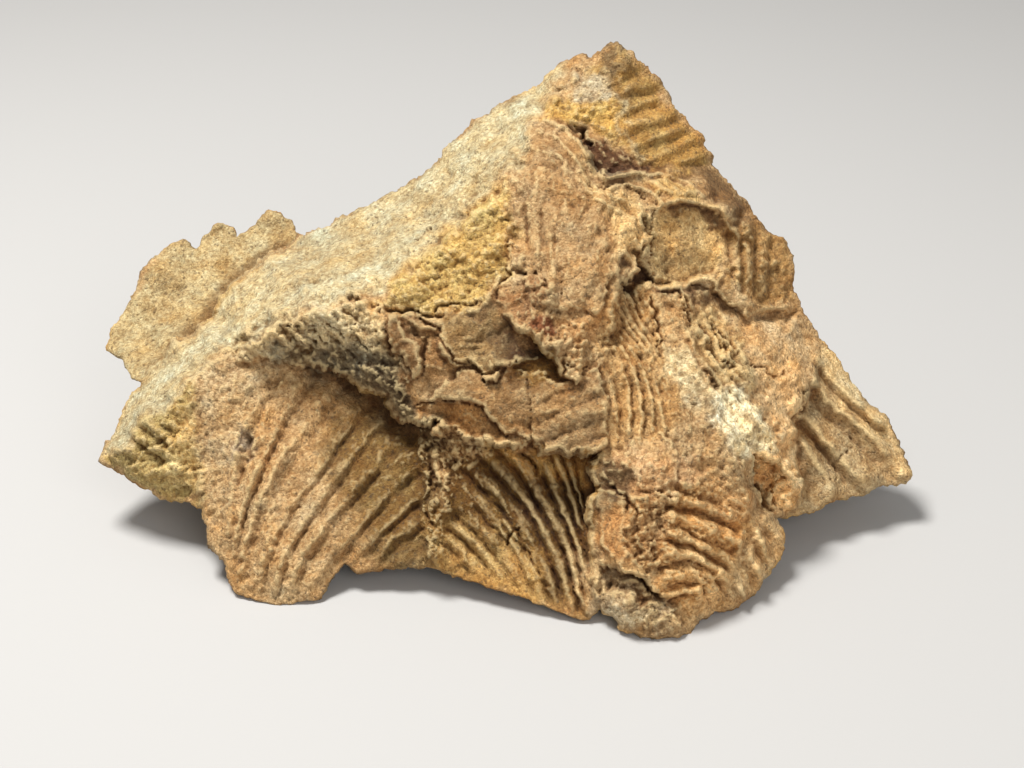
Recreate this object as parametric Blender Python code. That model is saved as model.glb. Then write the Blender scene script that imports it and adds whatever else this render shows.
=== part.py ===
"""A fossil clam: a broken lump of siltstone, 50 mm long, with the ribbed moulds of clam shells on its faces.

The stone is drawn on a sketch plane that leans back by TILT, as seen from an eye SIGHT away. A point of the sketch
is (across, up, toward) in millimetres: across to the right, up the plane, and toward the eye. Lines of sight meet
at the eye, so a point keeps its place in the sketch whatever its depth. Two sheets close the stone: the near one,
with its ledges and shells, and the hidden one, which is the underside and the back.
"""

import math

import bpy
import numpy as np
from mathutils import Vector, noise
from mathutils.bvhtree import BVHTree
from mathutils.geometry import delaunay_2d_cdt

# Driving dimensions, in millimetres.
METRE = 1000.0
SIGHT = 124.0
TILT = math.radians(28.0)
SKETCH_HEIGHT = 9.5  # of the sketch's centre above the surface that the stone rests on
SHIFT = (0.69, -3.56)  # centres the stone's box on the origin
RIM = 0.5  # thickness of the stone's edge where the two sheets meet
ROUND = 1.8  # how much deeper the hidden sheet runs once it has turned the edge
LEAST = 1.4  # thickness of the stone at its thinnest
CLIFF = 0.3  # width in the sketch of a ledge's face
RAGGED = 0.3  # how far a ledge strays from its line
SPACING = 0.3  # between the points of a sheet
TRIANGLES = 9400
SEED = 7

# The stone's outline, clockwise from the peak.
OUTLINE = [
    (6.6, 21.3, -3.0), (7.5, 20.7, -3.0), (9.1, 19.0, -3.2), (10.1, 17.2, -3.2), (11.9, 15.3, -3.4),
    (12.4, 14.2, -3.5), (12.4, 13.7, -3.5), (13.9, 12.0, -3.6), (15.4, 10.1, -3.6), (16.2, 9.3, -3.4),
    (16.9, 9.1, -3.3), (17.5, 8.0, -3.3), (17.6, 6.6, -3.2), (17.4, 6.1, -3.2), (18.1, 4.7, -3.0),
    (19.2, 2.9, -3.2), (20.3, 1.6, -3.3), (21.2, 0.0, -3.4), (22.3, -1.3, -3.3), (23.4, -2.3, -3.2),
    (24.2, -4.0, -3.0), (25.0, -5.7, -2.6), (24.6, -6.2, -2.4), (22.9, -6.4, -1.8), (21.9, -6.9, -1.4),
    (20.1, -7.2, -0.6), (18.8, -7.9, 0.0), (17.2, -8.3, 0.6), (16.5, -8.4, 2.6), (16.9, -9.6, 3.0),
    (16.7, -10.9, 3.4), (15.6, -12.2, 4.4), (15.4, -12.8, 4.6), (14.1, -13.9, 5.6), (12.5, -14.3, 6.4),
    (11.6, -14.8, 6.8), (11.2, -15.5, 7.2), (10.3, -15.9, 7.6), (9.2, -16.0, 7.8), (7.8, -15.7, 7.8),
    (6.8, -15.2, 7.6), (6.2, -14.4, 7.2), (5.5, -14.0, 6.8), (4.8, -14.7, 6.6), (4.0, -14.6, 6.6),
    (2.0, -13.8, 6.2), (0.0, -13.1, 5.8), (-2.6, -12.3, 5.0), (-4.3, -11.6, 4.6), (-5.2, -11.4, 4.1),
    (-6.2, -11.4, 4.1), (-9.6, -11.7, 4.1), (-10.5, -11.2, 4.0), (-11.2, -12.1, 4.3), (-12.1, -13.4, 4.7),
    (-14.5, -13.8, 4.8), (-16.2, -13.4, 4.5), (-17.3, -13.0, 4.2), (-18.1, -11.0, 3.6), (-18.9, -10.2, 3.2),
    (-19.1, -8.8, 2.6), (-19.4, -7.8, 1.8), (-20.2, -7.3, 0.9), (-21.3, -7.4, 0.3), (-23.0, -6.4, -0.3),
    (-24.6, -5.4, -0.5), (-25.7, -4.8, -0.8), (-25.4, -4.0, -1.2), (-24.6, -2.8, -1.9), (-24.1, -1.3, -2.6),
    (-23.1, 0.1, -3.2), (-23.8, 0.4, -5.0), (-24.4, 1.6, -6.5), (-25.3, 2.1, -7.6), (-25.1, 3.0, -8.2),
    (-24.0, 4.9, -9.0), (-22.9, 7.2, -10.0), (-21.4, 8.7, -11.0), (-20.6, 8.9, -11.4), (-19.7, 8.4, -11.4),
    (-19.0, 9.3, -11.8), (-18.3, 10.1, -12.0), (-17.6, 9.8, -12.2), (-17.2, 9.2, -12.0), (-16.2, 9.7, -12.2),
    (-15.2, 10.8, -12.4), (-13.8, 10.2, -12.0), (-13.5, 9.4, -11.5), (-12.9, 9.2, -5.0), (-11.0, 10.1, -5.0),
    (-9.0, 11.1, -5.0), (-6.6, 12.3, -5.2), (-4.8, 13.6, -5.4), (-4.0, 14.7, -5.4), (-2.4, 16.2, -5.5),
    (-0.6, 17.5, -5.3), (1.3, 18.3, -5.0), (3.0, 19.9, -4.4), (4.4, 20.6, -3.8), (5.0, 20.3, -3.6),
    (6.0, 21.1, -3.1),
]

# Ledges: (across, up, depth of the lip, depth of the foot). The foot is on the right of the way the line runs.
LEDGES = {
    "crest": [
        (-13.3, 8.75, -5.0, -11.3), (-14.9, 7.9, -4.6, -11.0), (-16.1, 6.9, -4.2, -10.3), (-17.4, 6.0, -4.0, -9.6),
        (-18.3, 4.2, -3.4, -8.0), (-19.4, 3.4, -3.2, -7.0), (-20.9, 2.3, -3.1, -6.0), (-22.5, 0.7, -3.2, -4.6),
    ],
    "overhang": [
        (-17.0, 1.5, 1.3, 0.9), (-15.6, 1.5, 1.5, 0.4), (-13.0, 1.25, 1.4, -0.3), (-11.2, 0.95, 1.5, -0.7),
        (-10.2, 0.8, 1.7, -0.9), (-9.4, 0.0, 1.9, -0.6), (-8.3, -0.6, 2.2, -0.3), (-7.5, -1.2, 2.6, 0.0),
        (-6.8, -2.1, 3.0, 0.5), (-5.4, -2.6, 3.5, 1.3), (-4.0, -2.9, 4.1, 2.2), (-2.0, -3.6, 4.7, 2.8),
        (0.0, -3.7, 5.3, 3.1), (1.6, -3.8, 5.6, 3.2), (2.1, -4.3, 5.8, 3.3), (3.2, -4.1, 6.0, 3.3),
        (4.4, -4.2, 6.2, 3.5), (5.6, -4.1, 6.3, 4.0), (5.3, -5.0, 6.4, 4.2), (5.6, -6.4, 6.8, 4.5),
        (5.0, -7.6, 6.8, 4.7), (5.0, -9.5, 7.0, 5.2), (5.1, -11.5, 7.1, 5.8), (5.3, -13.0, 7.0, 6.3),
    ],
    "shell_edge": [
        (-4.9, -3.8, 3.3, 2.3), (-4.8, -5.0, 3.4, 2.3), (-4.6, -6.3, 3.7, 2.7), (-4.8, -8.0, 4.2, 3.3),
        (-5.0, -9.8, 4.6, 3.7), (-5.0, -10.9, 4.7, 4.0),
    ],
    "plate": [
        (-5.6, 3.5, 4.4, 3.9), (-4.6, 3.4, 4.8, 3.9), (-4.4, 2.3, 4.9, 3.9), (-3.5, 1.1, 5.2, 4.3),
        (-2.4, 1.3, 5.4, 4.5), (-1.8, 0.8, 5.6, 4.8), (-0.7, 1.2, 5.8, 4.8), (0.3, 1.4, 5.9, 4.4),
    ],
    "brow": [
        (-0.4, 4.4, 5.2, 4.9), (0.2, 3.5, 5.8, 4.4), (1.2, 3.1, 6.1, 4.0), (2.0, 2.3, 6.3, 4.1),
        (2.7, 1.6, 6.5, 4.5), (3.0, 0.6, 6.5, 5.0), (4.0, 0.3, 6.6, 5.6), (4.5, 1.1, 6.5, 6.0),
    ],
    "hollow": [
        (12.0, 13.4, -2.9, -3.3), (10.0, 13.2, -0.6, -1.7), (8.0, 13.2, 0.8, -0.9), (6.4, 12.8, 1.8, -0.6),
        (5.2, 13.0, 2.2, -0.9), (4.5, 14.2, 1.8, -1.5), (4.0, 15.2, 1.4, -1.5), (3.3, 16.0, 0.8, -0.8),
        (2.2, 16.6, 0.0, -0.6),
    ],
    "flake_top": [
        (8.6, 10.4, 2.4, 1.9), (9.3, 11.3, 2.2, 1.0), (10.8, 11.3, 1.4, 0.0), (12.1, 11.0, 0.8, -0.4),
        (13.1, 10.3, 0.2, -0.8), (13.7, 9.6, -0.3, -0.8),
    ],
    "flake_bottom": [
        (13.2, 8.8, 0.3, -0.4), (13.2, 7.4, 0.6, -0.2), (12.4, 6.3, 1.3, 0.3), (11.3, 6.5, 1.8, 0.8),
        (10.2, 5.9, 2.4, 1.2), (8.9, 6.0, 2.9, 1.9),
    ],
    "ribbed_bottom": [
        (13.3, 5.6, 0.9, 0.0), (14.2, 5.0, 0.5, -0.3), (15.2, 5.3, -0.3, -1.1), (16.2, 5.1, -1.1, -2.0),
        (17.2, 4.5, -2.3, -2.9),
    ],
    "cheek": [
        (5.5, 1.9, 6.3, 5.9), (5.9, 3.0, 6.0, 5.0), (6.3, 4.6, 5.6, 4.2), (6.8, 6.2, 5.0, 3.3), (7.9, 7.4, 4.0, 2.5),
        (8.2, 8.8, 3.6, 2.6), (8.2, 9.9, 3.2, 2.5),
    ],
    "wing_root": [
        (17.9, -7.5, 0.9, 0.3), (18.1, -6.2, 1.6, 0.1), (17.4, -4.0, 1.5, -0.2), (17.5, -2.4, 1.1, -0.8),
        (18.2, -1.0, 0.2, -1.4), (18.9, 0.3, -0.8, -2.1), (19.1, 1.6, -1.8, -2.6),
    ],
    "ochre_edge": [
        (-9.6, 5.8, 2.6, 2.9), (-8.2, 5.0, 3.1, 3.9), (-6.6, 4.8, 3.4, 4.1), (-4.5, 4.75, 3.9, 4.5), (-2.4, 4.9, 4.3, 4.8),
        (-1.4, 5.9, 4.3, 4.8), (-0.6, 7.2, 4.0, 4.5), (-0.2, 9.0, 3.5, 4.0), (-0.1, 10.8, 2.8, 3.2),
    ],
}

# Ridges and hollows of the near face.
NEAR = [
    # the weathered top, from the left tip to the peak
    (-24.3, -3.9, 0.4), (-22.9, -2.6, 1.0), (-21.6, -1.2, 1.3), (-20.3, -0.1, 1.5), (-19.2, 0.9, 1.4),
    (-18.0, 1.6, 1.3), (-19.5, 1.2, 0.0), (-17.0, 3.5, -0.6), (-14.0, 6.5, -1.0), (-10.0, 8.2, -1.4),
    (-6.0, 10.0, -1.4), (-3.0, 12.5, -1.6), (-0.8, 15.2, -2.0),
    (-15.7, 3.2, 2.4), (-14.2, 4.1, 2.8), (-12.8, 4.3, 3.1), (-11.6, 5.0, 3.1), (-10.0, 4.4, 3.5),
    (-8.8, 3.8, 3.8), (-7.0, 4.2, 4.2), (-6.9, 2.2, 3.9), (-2.5, 4.0, 4.6), (-2.0, 2.6, 4.4),
    (-6.5, 7.0, 2.9), (-4.0, 9.0, 2.3), (-1.4, 11.0, 2.4),
    # the ridge that comes down from the peak, and the face on its right
    (0.4, 5.0, 5.3), (0.4, 7.0, 4.7), (0.4, 9.5, 3.9), (0.0, 12.2, 2.6), (0.8, 14.5, 1.2), (1.5, 16.9, -0.6),
    (3.0, 18.5, -2.2), (4.6, 19.8, -3.0), (3.0, 12.0, 3.6), (2.5, 8.0, 5.2), (2.5, 4.5, 5.9), (5.5, 9.0, 4.7),
    (5.0, 5.0, 5.7), (5.8, 12.0, 2.7), (3.2, 15.0, 1.6), (7.9, 9.0, 3.3),
    # the peak's own face
    (7.0, 19.8, -2.4), (7.0, 17.0, -1.5), (7.3, 14.8, -1.2), (9.5, 16.0, -2.2), (5.0, 17.3, -1.5), (4.5, 18.8, -2.3),
    # the side face
    (9.5, 12.2, 1.2), (9.0, 9.5, 1.9), (9.0, 6.8, 2.4), (12.5, 8.2, 0.5), (15.0, 8.0, -1.2), (16.8, 7.0, -2.6),
    (7.5, 4.0, 3.7), (7.0, 0.0, 5.6), (8.0, -3.5, 6.7), (10.0, 3.0, 4.2), (9.3, 1.3, 4.8), (12.0, 1.0, 4.4),
    (13.0, -2.0, 5.2), (14.5, -3.5, 5.0), (11.0, -4.0, 6.8), (15.0, 2.0, 1.9), (16.4, 0.0, 1.5), (17.0, 3.0, -1.0),
    # the flake that overhangs the two shells
    (-6.4, -0.6, 3.4), (-5.6, 1.2, 4.2), (-3.0, -0.4, 5.0), (0.0, -1.0, 5.2), (3.0, -2.0, 5.9), (5.8, -1.5, 6.5),
    # the large shell
    (-19.6, -1.4, 1.5), (-19.6, -4.0, 1.8), (-19.2, -7.0, 2.3), (-16.0, -5.0, 3.2), (-12.0, -5.0, 2.9),
    (-8.5, -5.5, 2.3), (-15.0, -10.0, 4.5), (-10.0, -9.5, 4.0), (-17.6, -9.0, 3.7), (-12.0, -1.5, 1.0), (-16.0, -1.0, 1.7),
    # the second shell
    (-3.4, -6.0, 3.9), (0.0, -6.0, 3.8), (3.0, -6.0, 3.9), (0.0, -9.5, 4.8), (3.0, -10.0, 5.2), (-3.0, -10.0, 4.8),
    # the nose, and the knob beside it
    (14.6, -8.0, 5.0), (15.5, -9.8, 4.5), (14.0, -11.5, 6.1), (12.0, -9.0, 7.5), (9.5, -9.0, 8.3), (7.0, -7.5, 7.9),
    (6.5, -11.0, 8.1), (9.0, -13.5, 8.5), (12.0, -12.5, 7.7), (7.0, -14.0, 8.0), (11.0, -6.3, 7.5), (8.5, -5.5, 7.5),
    (13.5, -5.0, 5.9), (16.8, -5.5, 2.9), (17.0, -7.0, 2.4), (15.4, -6.4, 2.6),
    # the wing
    (20.5, -3.0, -1.7), (21.5, -5.0, -1.7), (19.5, -6.0, -0.7),
    # the low slab behind the crest
    (-22.5, 3.0, -7.4), (-20.5, 6.0, -9.6), (-18.0, 8.4, -11.2), (-15.4, 9.2, -11.6),
]

# The underside and the back, as they stand: (across, deep, high).
HIDDEN = [
    (-13.5, -8.5, -1.4), (-15.0, -6.2, -0.4), (-8.0, -6.0, 3.0), (-1.0, -7.0, 3.2), (4.0, -9.5, 1.6), (8.5, -12.0, -1.6),
    (12.5, -9.5, 1.2), (-18.0, -3.0, 3.4), (-20.0, 3.0, 4.8), (-10.0, 3.0, 3.0), (0.0, 0.0, 3.6), (10.0, -2.0, 2.8),
    (17.0, -1.0, 2.6), (20.0, 0.5, 2.8), (-14.0, 10.0, 4.2), (-5.0, 10.0, 2.2), (-4.0, 14.5, -0.4), (3.0, 9.0, 2.4),
    (4.0, 14.0, -0.4), (11.0, 9.0, 0.2), (17.0, 4.0, 2.4), (-20.0, 12.0, 6.4), (-15.5, 16.0, 6.2), (-10.0, 16.5, 3.4),
    (-4.0, 17.5, 1.8), (2.0, 17.5, 0.6), (9.0, 14.0, 0.8), (15.0, 8.5, 1.8), (-17.0, 18.0, 10.4), (-11.5, 16.0, 8.4),
    (-7.0, 17.2, 6.2), (-1.0, 19.0, 8.4), (4.5, 17.5, 6.4), (9.0, 13.6, 8.2), (13.0, 10.4, 5.4), (17.0, 6.4, 7.2),
    (-7.0, 17.6, 12.6), (-3.0, 17.8, 15.4), (0.5, 16.4, 12.6), (4.0, 16.6, 18.0), (7.6, 13.8, 14.4), (11.0, 11.4, 12.0),
]

# Thin flakes that stand on the face, or are missing from it: (height, corners in the sketch).
FLAKES = {
    "curled_flake": (0.7, [
        (-8.0, 3.3), (-7.8, 4.2), (-7.0, 4.3), (-6.2, 3.2), (-5.3, 1.9), (-5.6, 0.6), (-6.4, 0.1), (-7.3, 1.4),
    ]),
    "centre_flake": (0.6, [
        (-5.4, -0.7), (-3.6, 0.9), (-2.0, 0.9), (0.2, 1.1), (3.0, 0.2), (5.4, 0.9), (6.2, -1.5), (6.1, -3.4),
        (5.2, -4.2), (2.4, -4.5), (1.7, -3.7), (0.3, -3.4), (-0.8, -2.5), (-1.6, -1.8), (-3.0, -0.8),
    ]),
    "lens": (-0.3, [(-5.9, -1.5), (-5.0, -0.9), (-3.0, -0.9), (-0.9, -2.4), (-0.3, -3.1), (-2.5, -3.5), (-4.9, -2.4)]),
    "small_flake": (0.5, [(-2.2, 1.2), (-1.9, 0.3), (-1.3, 0.0), (-0.8, 0.8), (-1.2, 1.4)]),
    "arch": (-1.1, [(6.7, 6.1), (8.0, 7.4), (8.9, 6.3), (8.3, 5.4), (7.0, 5.6)]),
    "orange_scale": (0.4, [
        (5.2, -6.6), (7.2, -6.3), (7.6, -8.0), (7.2, -10.0), (8.6, -12.2), (6.8, -11.6), (6.0, -10.6), (5.1, -8.0),
    ]),
    "nose_step": (-0.9, [(5.4, -11.4), (6.8, -11.8), (8.4, -12.4), (9.7, -13.2), (9.4, -13.9), (7.4, -13.4), (5.6, -12.9)]),
    "nest": (-1.3, [(15.3, -4.6), (16.9, -5.6), (16.5, -6.8), (16.0, -7.7), (15.3, -6.6)]),
    "nest_lip": (0.6, [(16.8, -4.9), (18.1, -5.9), (18.2, -7.0), (17.4, -8.0), (16.7, -7.2), (17.3, -6.2)]),
    "notch": (-0.8, [(-14.4, 4.1), (-13.6, 4.1), (-13.4, 2.9), (-12.1, 2.6), (-12.6, 1.8), (-13.6, 2.2), (-14.2, 3.2)]),
    "loop": (-0.7, [(-10.6, 5.5), (-9.7, 5.8), (-9.2, 5.2), (-9.9, 4.8)]),
    "left_pit": (-0.7, [(-21.4, -6.4), (-20.5, -6.3), (-20.1, -7.2), (-21.2, -7.4)]),
    "scar": (-0.35, [(-17.2, -2.8), (-16.4, -2.9), (-16.2, -4.4), (-16.7, -4.9), (-17.1, -4.2)]),
    "strip": (0.4, [(8.2, 13.0), (10.5, 12.8), (12.1, 11.6), (10.0, 11.6), (9.0, 11.7)]),
    "red_face": (0.4, [
        (0.6, 4.8), (3.6, 4.4), (5.4, 4.6), (6.2, 6.4), (7.6, 7.7), (7.8, 10.4), (5.6, 11.8), (4.4, 13.4), (1.6, 13.6),
        (0.5, 10.0),
    ]),
}

# Where the sandy matrix shows: (height of its roughness, its size, corners).
MATRIX = [
    (0.8, 1.0, [
        (-17.4, 2.6), (-15.8, 3.1), (-14.4, 4.0), (-12.7, 4.4), (-12.0, 5.0), (-9.5, 5.3), (-8.0, 4.0), (-7.5, 2.0),
        (-6.5, 0.2), (-6.3, -1.8), (-7.6, -1.2), (-9.6, 0.2), (-11.2, 0.9), (-13.0, 1.3), (-15.6, 1.6), (-17.2, 1.6),
    ]),
    (0.5, 0.9, [(-5.0, -3.3), (-2.2, -3.4), (-2.2, -4.6), (-3.4, -5.6), (-4.4, -7.2), (-4.9, -7.4), (-4.6, -5.6)]),
    (0.7, 1.1, [(5.2, -12.2), (6.6, -11.6), (8.6, -12.6), (9.8, -13.4), (9.8, -15.8), (7.2, -15.6), (5.4, -14.2)]),
    (0.6, 1.0, [(8.4, 9.6), (9.0, 8.2), (8.8, 6.6), (7.9, 6.6), (7.6, 8.2)]),
    (0.5, 1.2, [(10.4, 2.0), (12.0, 5.6), (13.3, 5.0), (15.6, -0.4), (16.2, -2.8), (15.0, -4.3), (12.4, -3.4), (12.0, -1.0)]),
    (0.5, 1.2, [(-8.0, 5.4), (-6.0, 7.4), (-3.5, 9.8), (-0.6, 11.6), (-0.5, 7.4), (-2.6, 5.2)]),
    (0.5, 1.0, [(3.0, 16.2), (6.8, 14.8), (6.8, 20.4), (4.2, 20.0), (2.0, 17.6)]),
]

# Cracks and grooves: (depth, half width, line).
CRACKS = [
    (0.9, 0.45, [(-8.2, 4.6), (-6.0, 4.5), (-4.4, 4.3)]),
    (0.7, 0.4, [(0.9, 0.2), (1.3, -0.8), (1.0, -2.4), (0.4, -3.4)]),
    (0.6, 0.4, [(3.3, 9.6), (3.4, 8.0), (3.1, 6.5), (3.4, 5.2)]),
    (0.7, 0.45, [(5.6, 12.4), (7.2, 12.6), (8.6, 11.7)]),
    (0.6, 0.45, [(12.0, 3.4), (12.6, 2.3), (13.2, 1.2)]),
    (0.6, 0.4, [(13.2, 3.0), (13.8, 2.0), (14.3, 1.2)]),
    (0.6, 0.4, [(8.7, 5.0), (9.3, 3.0), (9.4, 1.8)]),
    (0.6, 0.4, [(15.2, -4.4), (15.2, -6.0), (15.5, -7.0), (16.0, -7.9)]),
    (0.7, 0.45, [(-23.4, -3.3), (-22.6, -4.4), (-21.2, -4.9)]),
    (0.5, 0.4, [(-24.3, -4.3), (-23.6, -5.0), (-22.0, -5.6)]),
    (0.9, 0.5, [(0.5, -4.1), (1.1, -4.7), (1.8, -5.6)]),
    (0.7, 0.45, [(7.4, -7.4), (7.9, -9.0), (7.7, -11.0)]),
]

# Ribbed shells. "fan" ribs spread from the centre, pitch degrees apart. "rings" run round it, pitch mm apart.
# The crest or the groove of a rib is its sharp side.
SHELLS = {
    "large_shell": dict(kind="fan", centre=(-24.5, -27.0), pitch=2.75, height=0.65, sharp="crest", region=[
        (-19.9, -0.4), (-17.0, 1.4), (-13.0, 1.2), (-10.2, 0.7), (-7.5, -1.3), (-5.2, -3.3), (-5.1, -11.6),
        (-12.0, -14.4), (-19.5, -13.0),
    ]),
    "deep_shell": dict(kind="fan", centre=(6.4, -17.0), pitch=5.6, height=0.85, sharp="groove", region=[
        (-3.8, -4.2), (-1.8, -3.7), (5.2, -4.3), (5.2, -6.6), (4.9, -8.0), (5.2, -15.0), (-4.9, -12.0), (-4.8, -8.2),
    ]),
    "wing_shell": dict(kind="fan", centre=(0.5, 20.0), pitch=3.7, height=1.2, sharp="crest", region=[
        (19.2, 1.8), (20.4, 2.0), (26.0, -5.6), (24.6, -7.0), (18.8, -8.2), (18.2, -6.2), (17.6, -4.0), (17.6, -2.3), (19.0, 0.2),
    ]),
    "peak_shell": dict(kind="fan", centre=(27.0, 21.4), pitch=3.4, height=0.35, sharp="crest", region=[
        (6.9, 20.2), (9.0, 20.0), (13.0, 14.0), (12.0, 13.6), (8.6, 13.5), (7.2, 15.0),
    ]),
    "nose_shell": dict(kind="rings", centre=(10.3, -15.0), pitch=1.25, height=0.95, sharp="groove", region=[
        (9.6, -6.4), (12.5, -6.4), (14.5, -7.6), (14.4, -10.0), (13.8, -12.6), (12.2, -14.0), (9.8, -14.2),
        (9.0, -12.0), (9.2, -9.8),
    ]),
    "nose_side": dict(kind="fan", centre=(12.6, 1.0), pitch=3.6, height=0.4, sharp="groove", region=[
        (14.8, -8.2), (16.8, -8.4), (17.2, -11.0), (15.2, -13.2), (14.2, -12.6),
    ]),
    "side_shell": dict(kind="fan", centre=(13.5, 40.0), pitch=1.35, height=0.35, sharp="crest", region=[
        (13.3, 9.8), (15.0, 10.4), (17.8, 8.6), (17.6, 5.0), (15.5, 5.3), (13.6, 6.0),
    ]),
    "flake_shell": dict(kind="fan", centre=(-16.0, -11.5), pitch=3.1, height=0.45, sharp="crest", region=[
        (2.0, -1.2), (3.6, 0.0), (5.6, -0.3), (6.0, -3.4), (2.4, -4.4), (1.6, -3.2),
    ]),
    "plate_shell": dict(kind="fan", centre=(-30.0, 0.5), pitch=1.9, height=0.3, sharp="crest", region=[
        (-4.4, 4.2), (-4.3, 2.4), (-3.4, 1.4), (-1.0, 1.5), (0.2, 1.9), (-0.2, 3.2), (-1.0, 4.2),
    ]),
    "back_shell": dict(kind="fan", centre=(-2.0, -11.0), pitch=3.6, height=1.0, sharp="crest", region=[
        (-7.5, 4.0), (-6.0, 8.5), (-1.0, 11.5), (4.5, 12.5), (9.5, 10.0), (11.0, 5.0), (7.0, 2.5), (-2.0, 2.0),
    ]),
    "red_shell": dict(kind="fan", centre=(2.0, -30.0), pitch=1.75, height=0.25, sharp="crest", region=[
        (0.5, 6.4), (5.2, 6.0), (7.4, 8.0), (7.4, 10.6), (4.6, 12.4), (0.8, 12.6),
    ]),
}


def to_world(across, up, toward):
    """Points of the sketch as (n, 3) metres, +Z up, resting at zero."""
    narrow = (SIGHT - toward) / SIGHT
    deep = up * narrow * math.sin(TILT) - toward * math.cos(TILT)
    high = SKETCH_HEIGHT + up * narrow * math.cos(TILT) + toward * math.sin(TILT)
    placed = np.stack([across * narrow + SHIFT[0], deep + SHIFT[1], np.maximum(high, 0.0)], axis=1)
    return placed / METRE


def to_sketch(across, deep, high):
    """The sketch point of a place that is given as it stands."""
    toward = -deep * math.cos(TILT) + (high - SKETCH_HEIGHT) * math.sin(TILT)
    up = deep * math.sin(TILT) + (high - SKETCH_HEIGHT) * math.cos(TILT)
    widen = SIGHT / (SIGHT - toward)
    return across * widen, up * widen, toward


def line_distance(points, line, closed=False):
    """Distance of each sketch point from a line of corners."""
    corners = np.array(line, float)[:, :2]
    ends = np.roll(corners, -1, axis=0) if closed else corners[1:]
    nearest = np.full(len(points), np.inf)
    for start, end in zip(corners, ends):
        run = end - start
        along = np.clip((points - start) @ run / (run @ run), 0.0, 1.0)
        gap = np.linalg.norm(points - start - along[:, None] * run, axis=1)
        nearest = np.minimum(nearest, gap)
    return nearest


def inside(points, corners):
    """True for each sketch point that lies in the closed outline."""
    found = np.zeros(len(points), bool)
    previous = corners[-1]
    for corner in corners:
        (x0, y0), (x1, y1) = previous[:2], corner[:2]
        if y0 != y1:
            crosses = (y0 > points[:, 1]) != (y1 > points[:, 1])
            found ^= crosses & (points[:, 0] < (x1 - x0) * (points[:, 1] - y0) / (y1 - y0) + x0)
        previous = corner
    return found


def coverage(points, corners, edge):
    """1 well inside the outline, 0 outside it, with a slope as wide as edge."""
    depth = line_distance(points, corners, closed=True) * np.where(inside(points, corners), 1.0, -1.0)
    share = np.clip(depth / edge, 0.0, 1.0)
    return share * share * (3.0 - 2.0 * share)


def rough(points, size, layer):
    """Seeded noise of that wavelength in the sketch, from about -1 to 1."""
    lift = SEED + 10.0 * layer
    return np.array([noise.noise(Vector((x / size, y / size, lift))) for x, y in points])


def resampled(outline, step):
    """The outline's points with more between them, so that none is further than step from the next."""
    made = []
    for start, end in zip(outline, outline[1:] + outline[:1]):
        pieces = max(1, math.ceil(math.dist(start[:2], end[:2]) / step))
        made += [np.array(start) + (np.array(end) - start) * k / pieces for k in range(pieces)]
    return np.array(made)


def wander(points, reach):
    """Where each sketch point lands when it strays by up to about reach."""
    stray = np.stack([rough(points, 1.5, 1), rough(points, 1.5, 2)], axis=1)
    fine = np.stack([rough(points, 0.6, 7), rough(points, 0.6, 8)], axis=1)
    return points + reach * (stray + 0.4 * fine)


def ledge_lines(ledge):
    """A ledge's lip and its foot, as two ragged lines of sketch points."""
    corners = np.array(ledge, float)
    runs = np.gradient(corners[:, :2], axis=0)
    right = np.stack([runs[:, 1], -runs[:, 0]], axis=1)
    right *= CLIFF / np.linalg.norm(right, axis=1)[:, None]
    table = np.column_stack([corners, right])
    pieces = [max(1, round(math.dist(a[:2], b[:2]) / SPACING)) for a, b in zip(corners, corners[1:])]
    stations = np.concatenate([k + np.arange(n) / n for k, n in enumerate(pieces)] + [[len(pieces)]])
    dense = np.stack([np.interp(stations, np.arange(len(table)), column) for column in table.T], axis=1)
    ragged = wander(dense[:, :2], RAGGED)
    lip = np.column_stack([ragged, dense[:, 2]])
    foot = np.column_stack([ragged + dense[:, 4:6], dense[:, 3]])
    return lip, foot


def all_ledge_lines():
    return [line for ledge in LEDGES.values() for line in ledge_lines(ledge)]


def drape(border, lines, spots):
    """A tree of the triangles that hang between a sheet's border, its lines and its single points."""
    points = list(border)
    edges = [(k, (k + 1) % len(border)) for k in range(len(border))]
    for line in lines:
        first = len(points)
        points += list(line)
        edges += [(first + k, first + k + 1) for k in range(len(line) - 1)]
    points += [np.array(spot, float) for spot in spots]
    flat = [Vector(point[:2]) for point in points]
    made, _, faces, origins, _, _ = delaunay_2d_cdt(flat, edges, [], 0, 1e-4)
    depths = [points[origin[0]][2] if origin else None for origin in origins]
    if None in depths:
        raise ValueError("two lines of the sketch cross")
    return BVHTree.FromPolygons([(v.x, v.y, d) for v, d in zip(made, depths)], faces)


def depth_of(tree, points):
    """The depth of a draped sheet at each sketch point."""
    far = 100.0
    found = []
    for x, y in points:
        hit = tree.ray_cast(Vector((x, y, far)), Vector((0.0, 0.0, -1.0)))[0]
        found.append(hit.z if hit else tree.find_nearest(Vector((x, y, 0.0)))[0].z)
    return np.array(found)


def rib_height(points, shell):
    """The relief of one ribbed shell at each sketch point. Ribs fade where they crowd together."""
    offset = points - shell["centre"]
    reach = np.hypot(offset[:, 0], offset[:, 1])
    if shell["kind"] == "fan":
        turn = np.degrees(np.arctan2(offset[:, 1], offset[:, 0])) / shell["pitch"]
        gap = reach * math.radians(shell["pitch"])
    else:
        turn = reach / shell["pitch"]
        gap = shell["pitch"]
    wave = np.abs(np.sin(math.pi * turn))
    if shell["sharp"] == "crest":
        wave = 1.0 - wave
    crowded = np.clip((gap - 0.35) / 0.45, 0.0, 1.0)
    return shell["height"] * crowded * (wave - 0.5) * coverage(points, shell["region"], 0.6)


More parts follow.
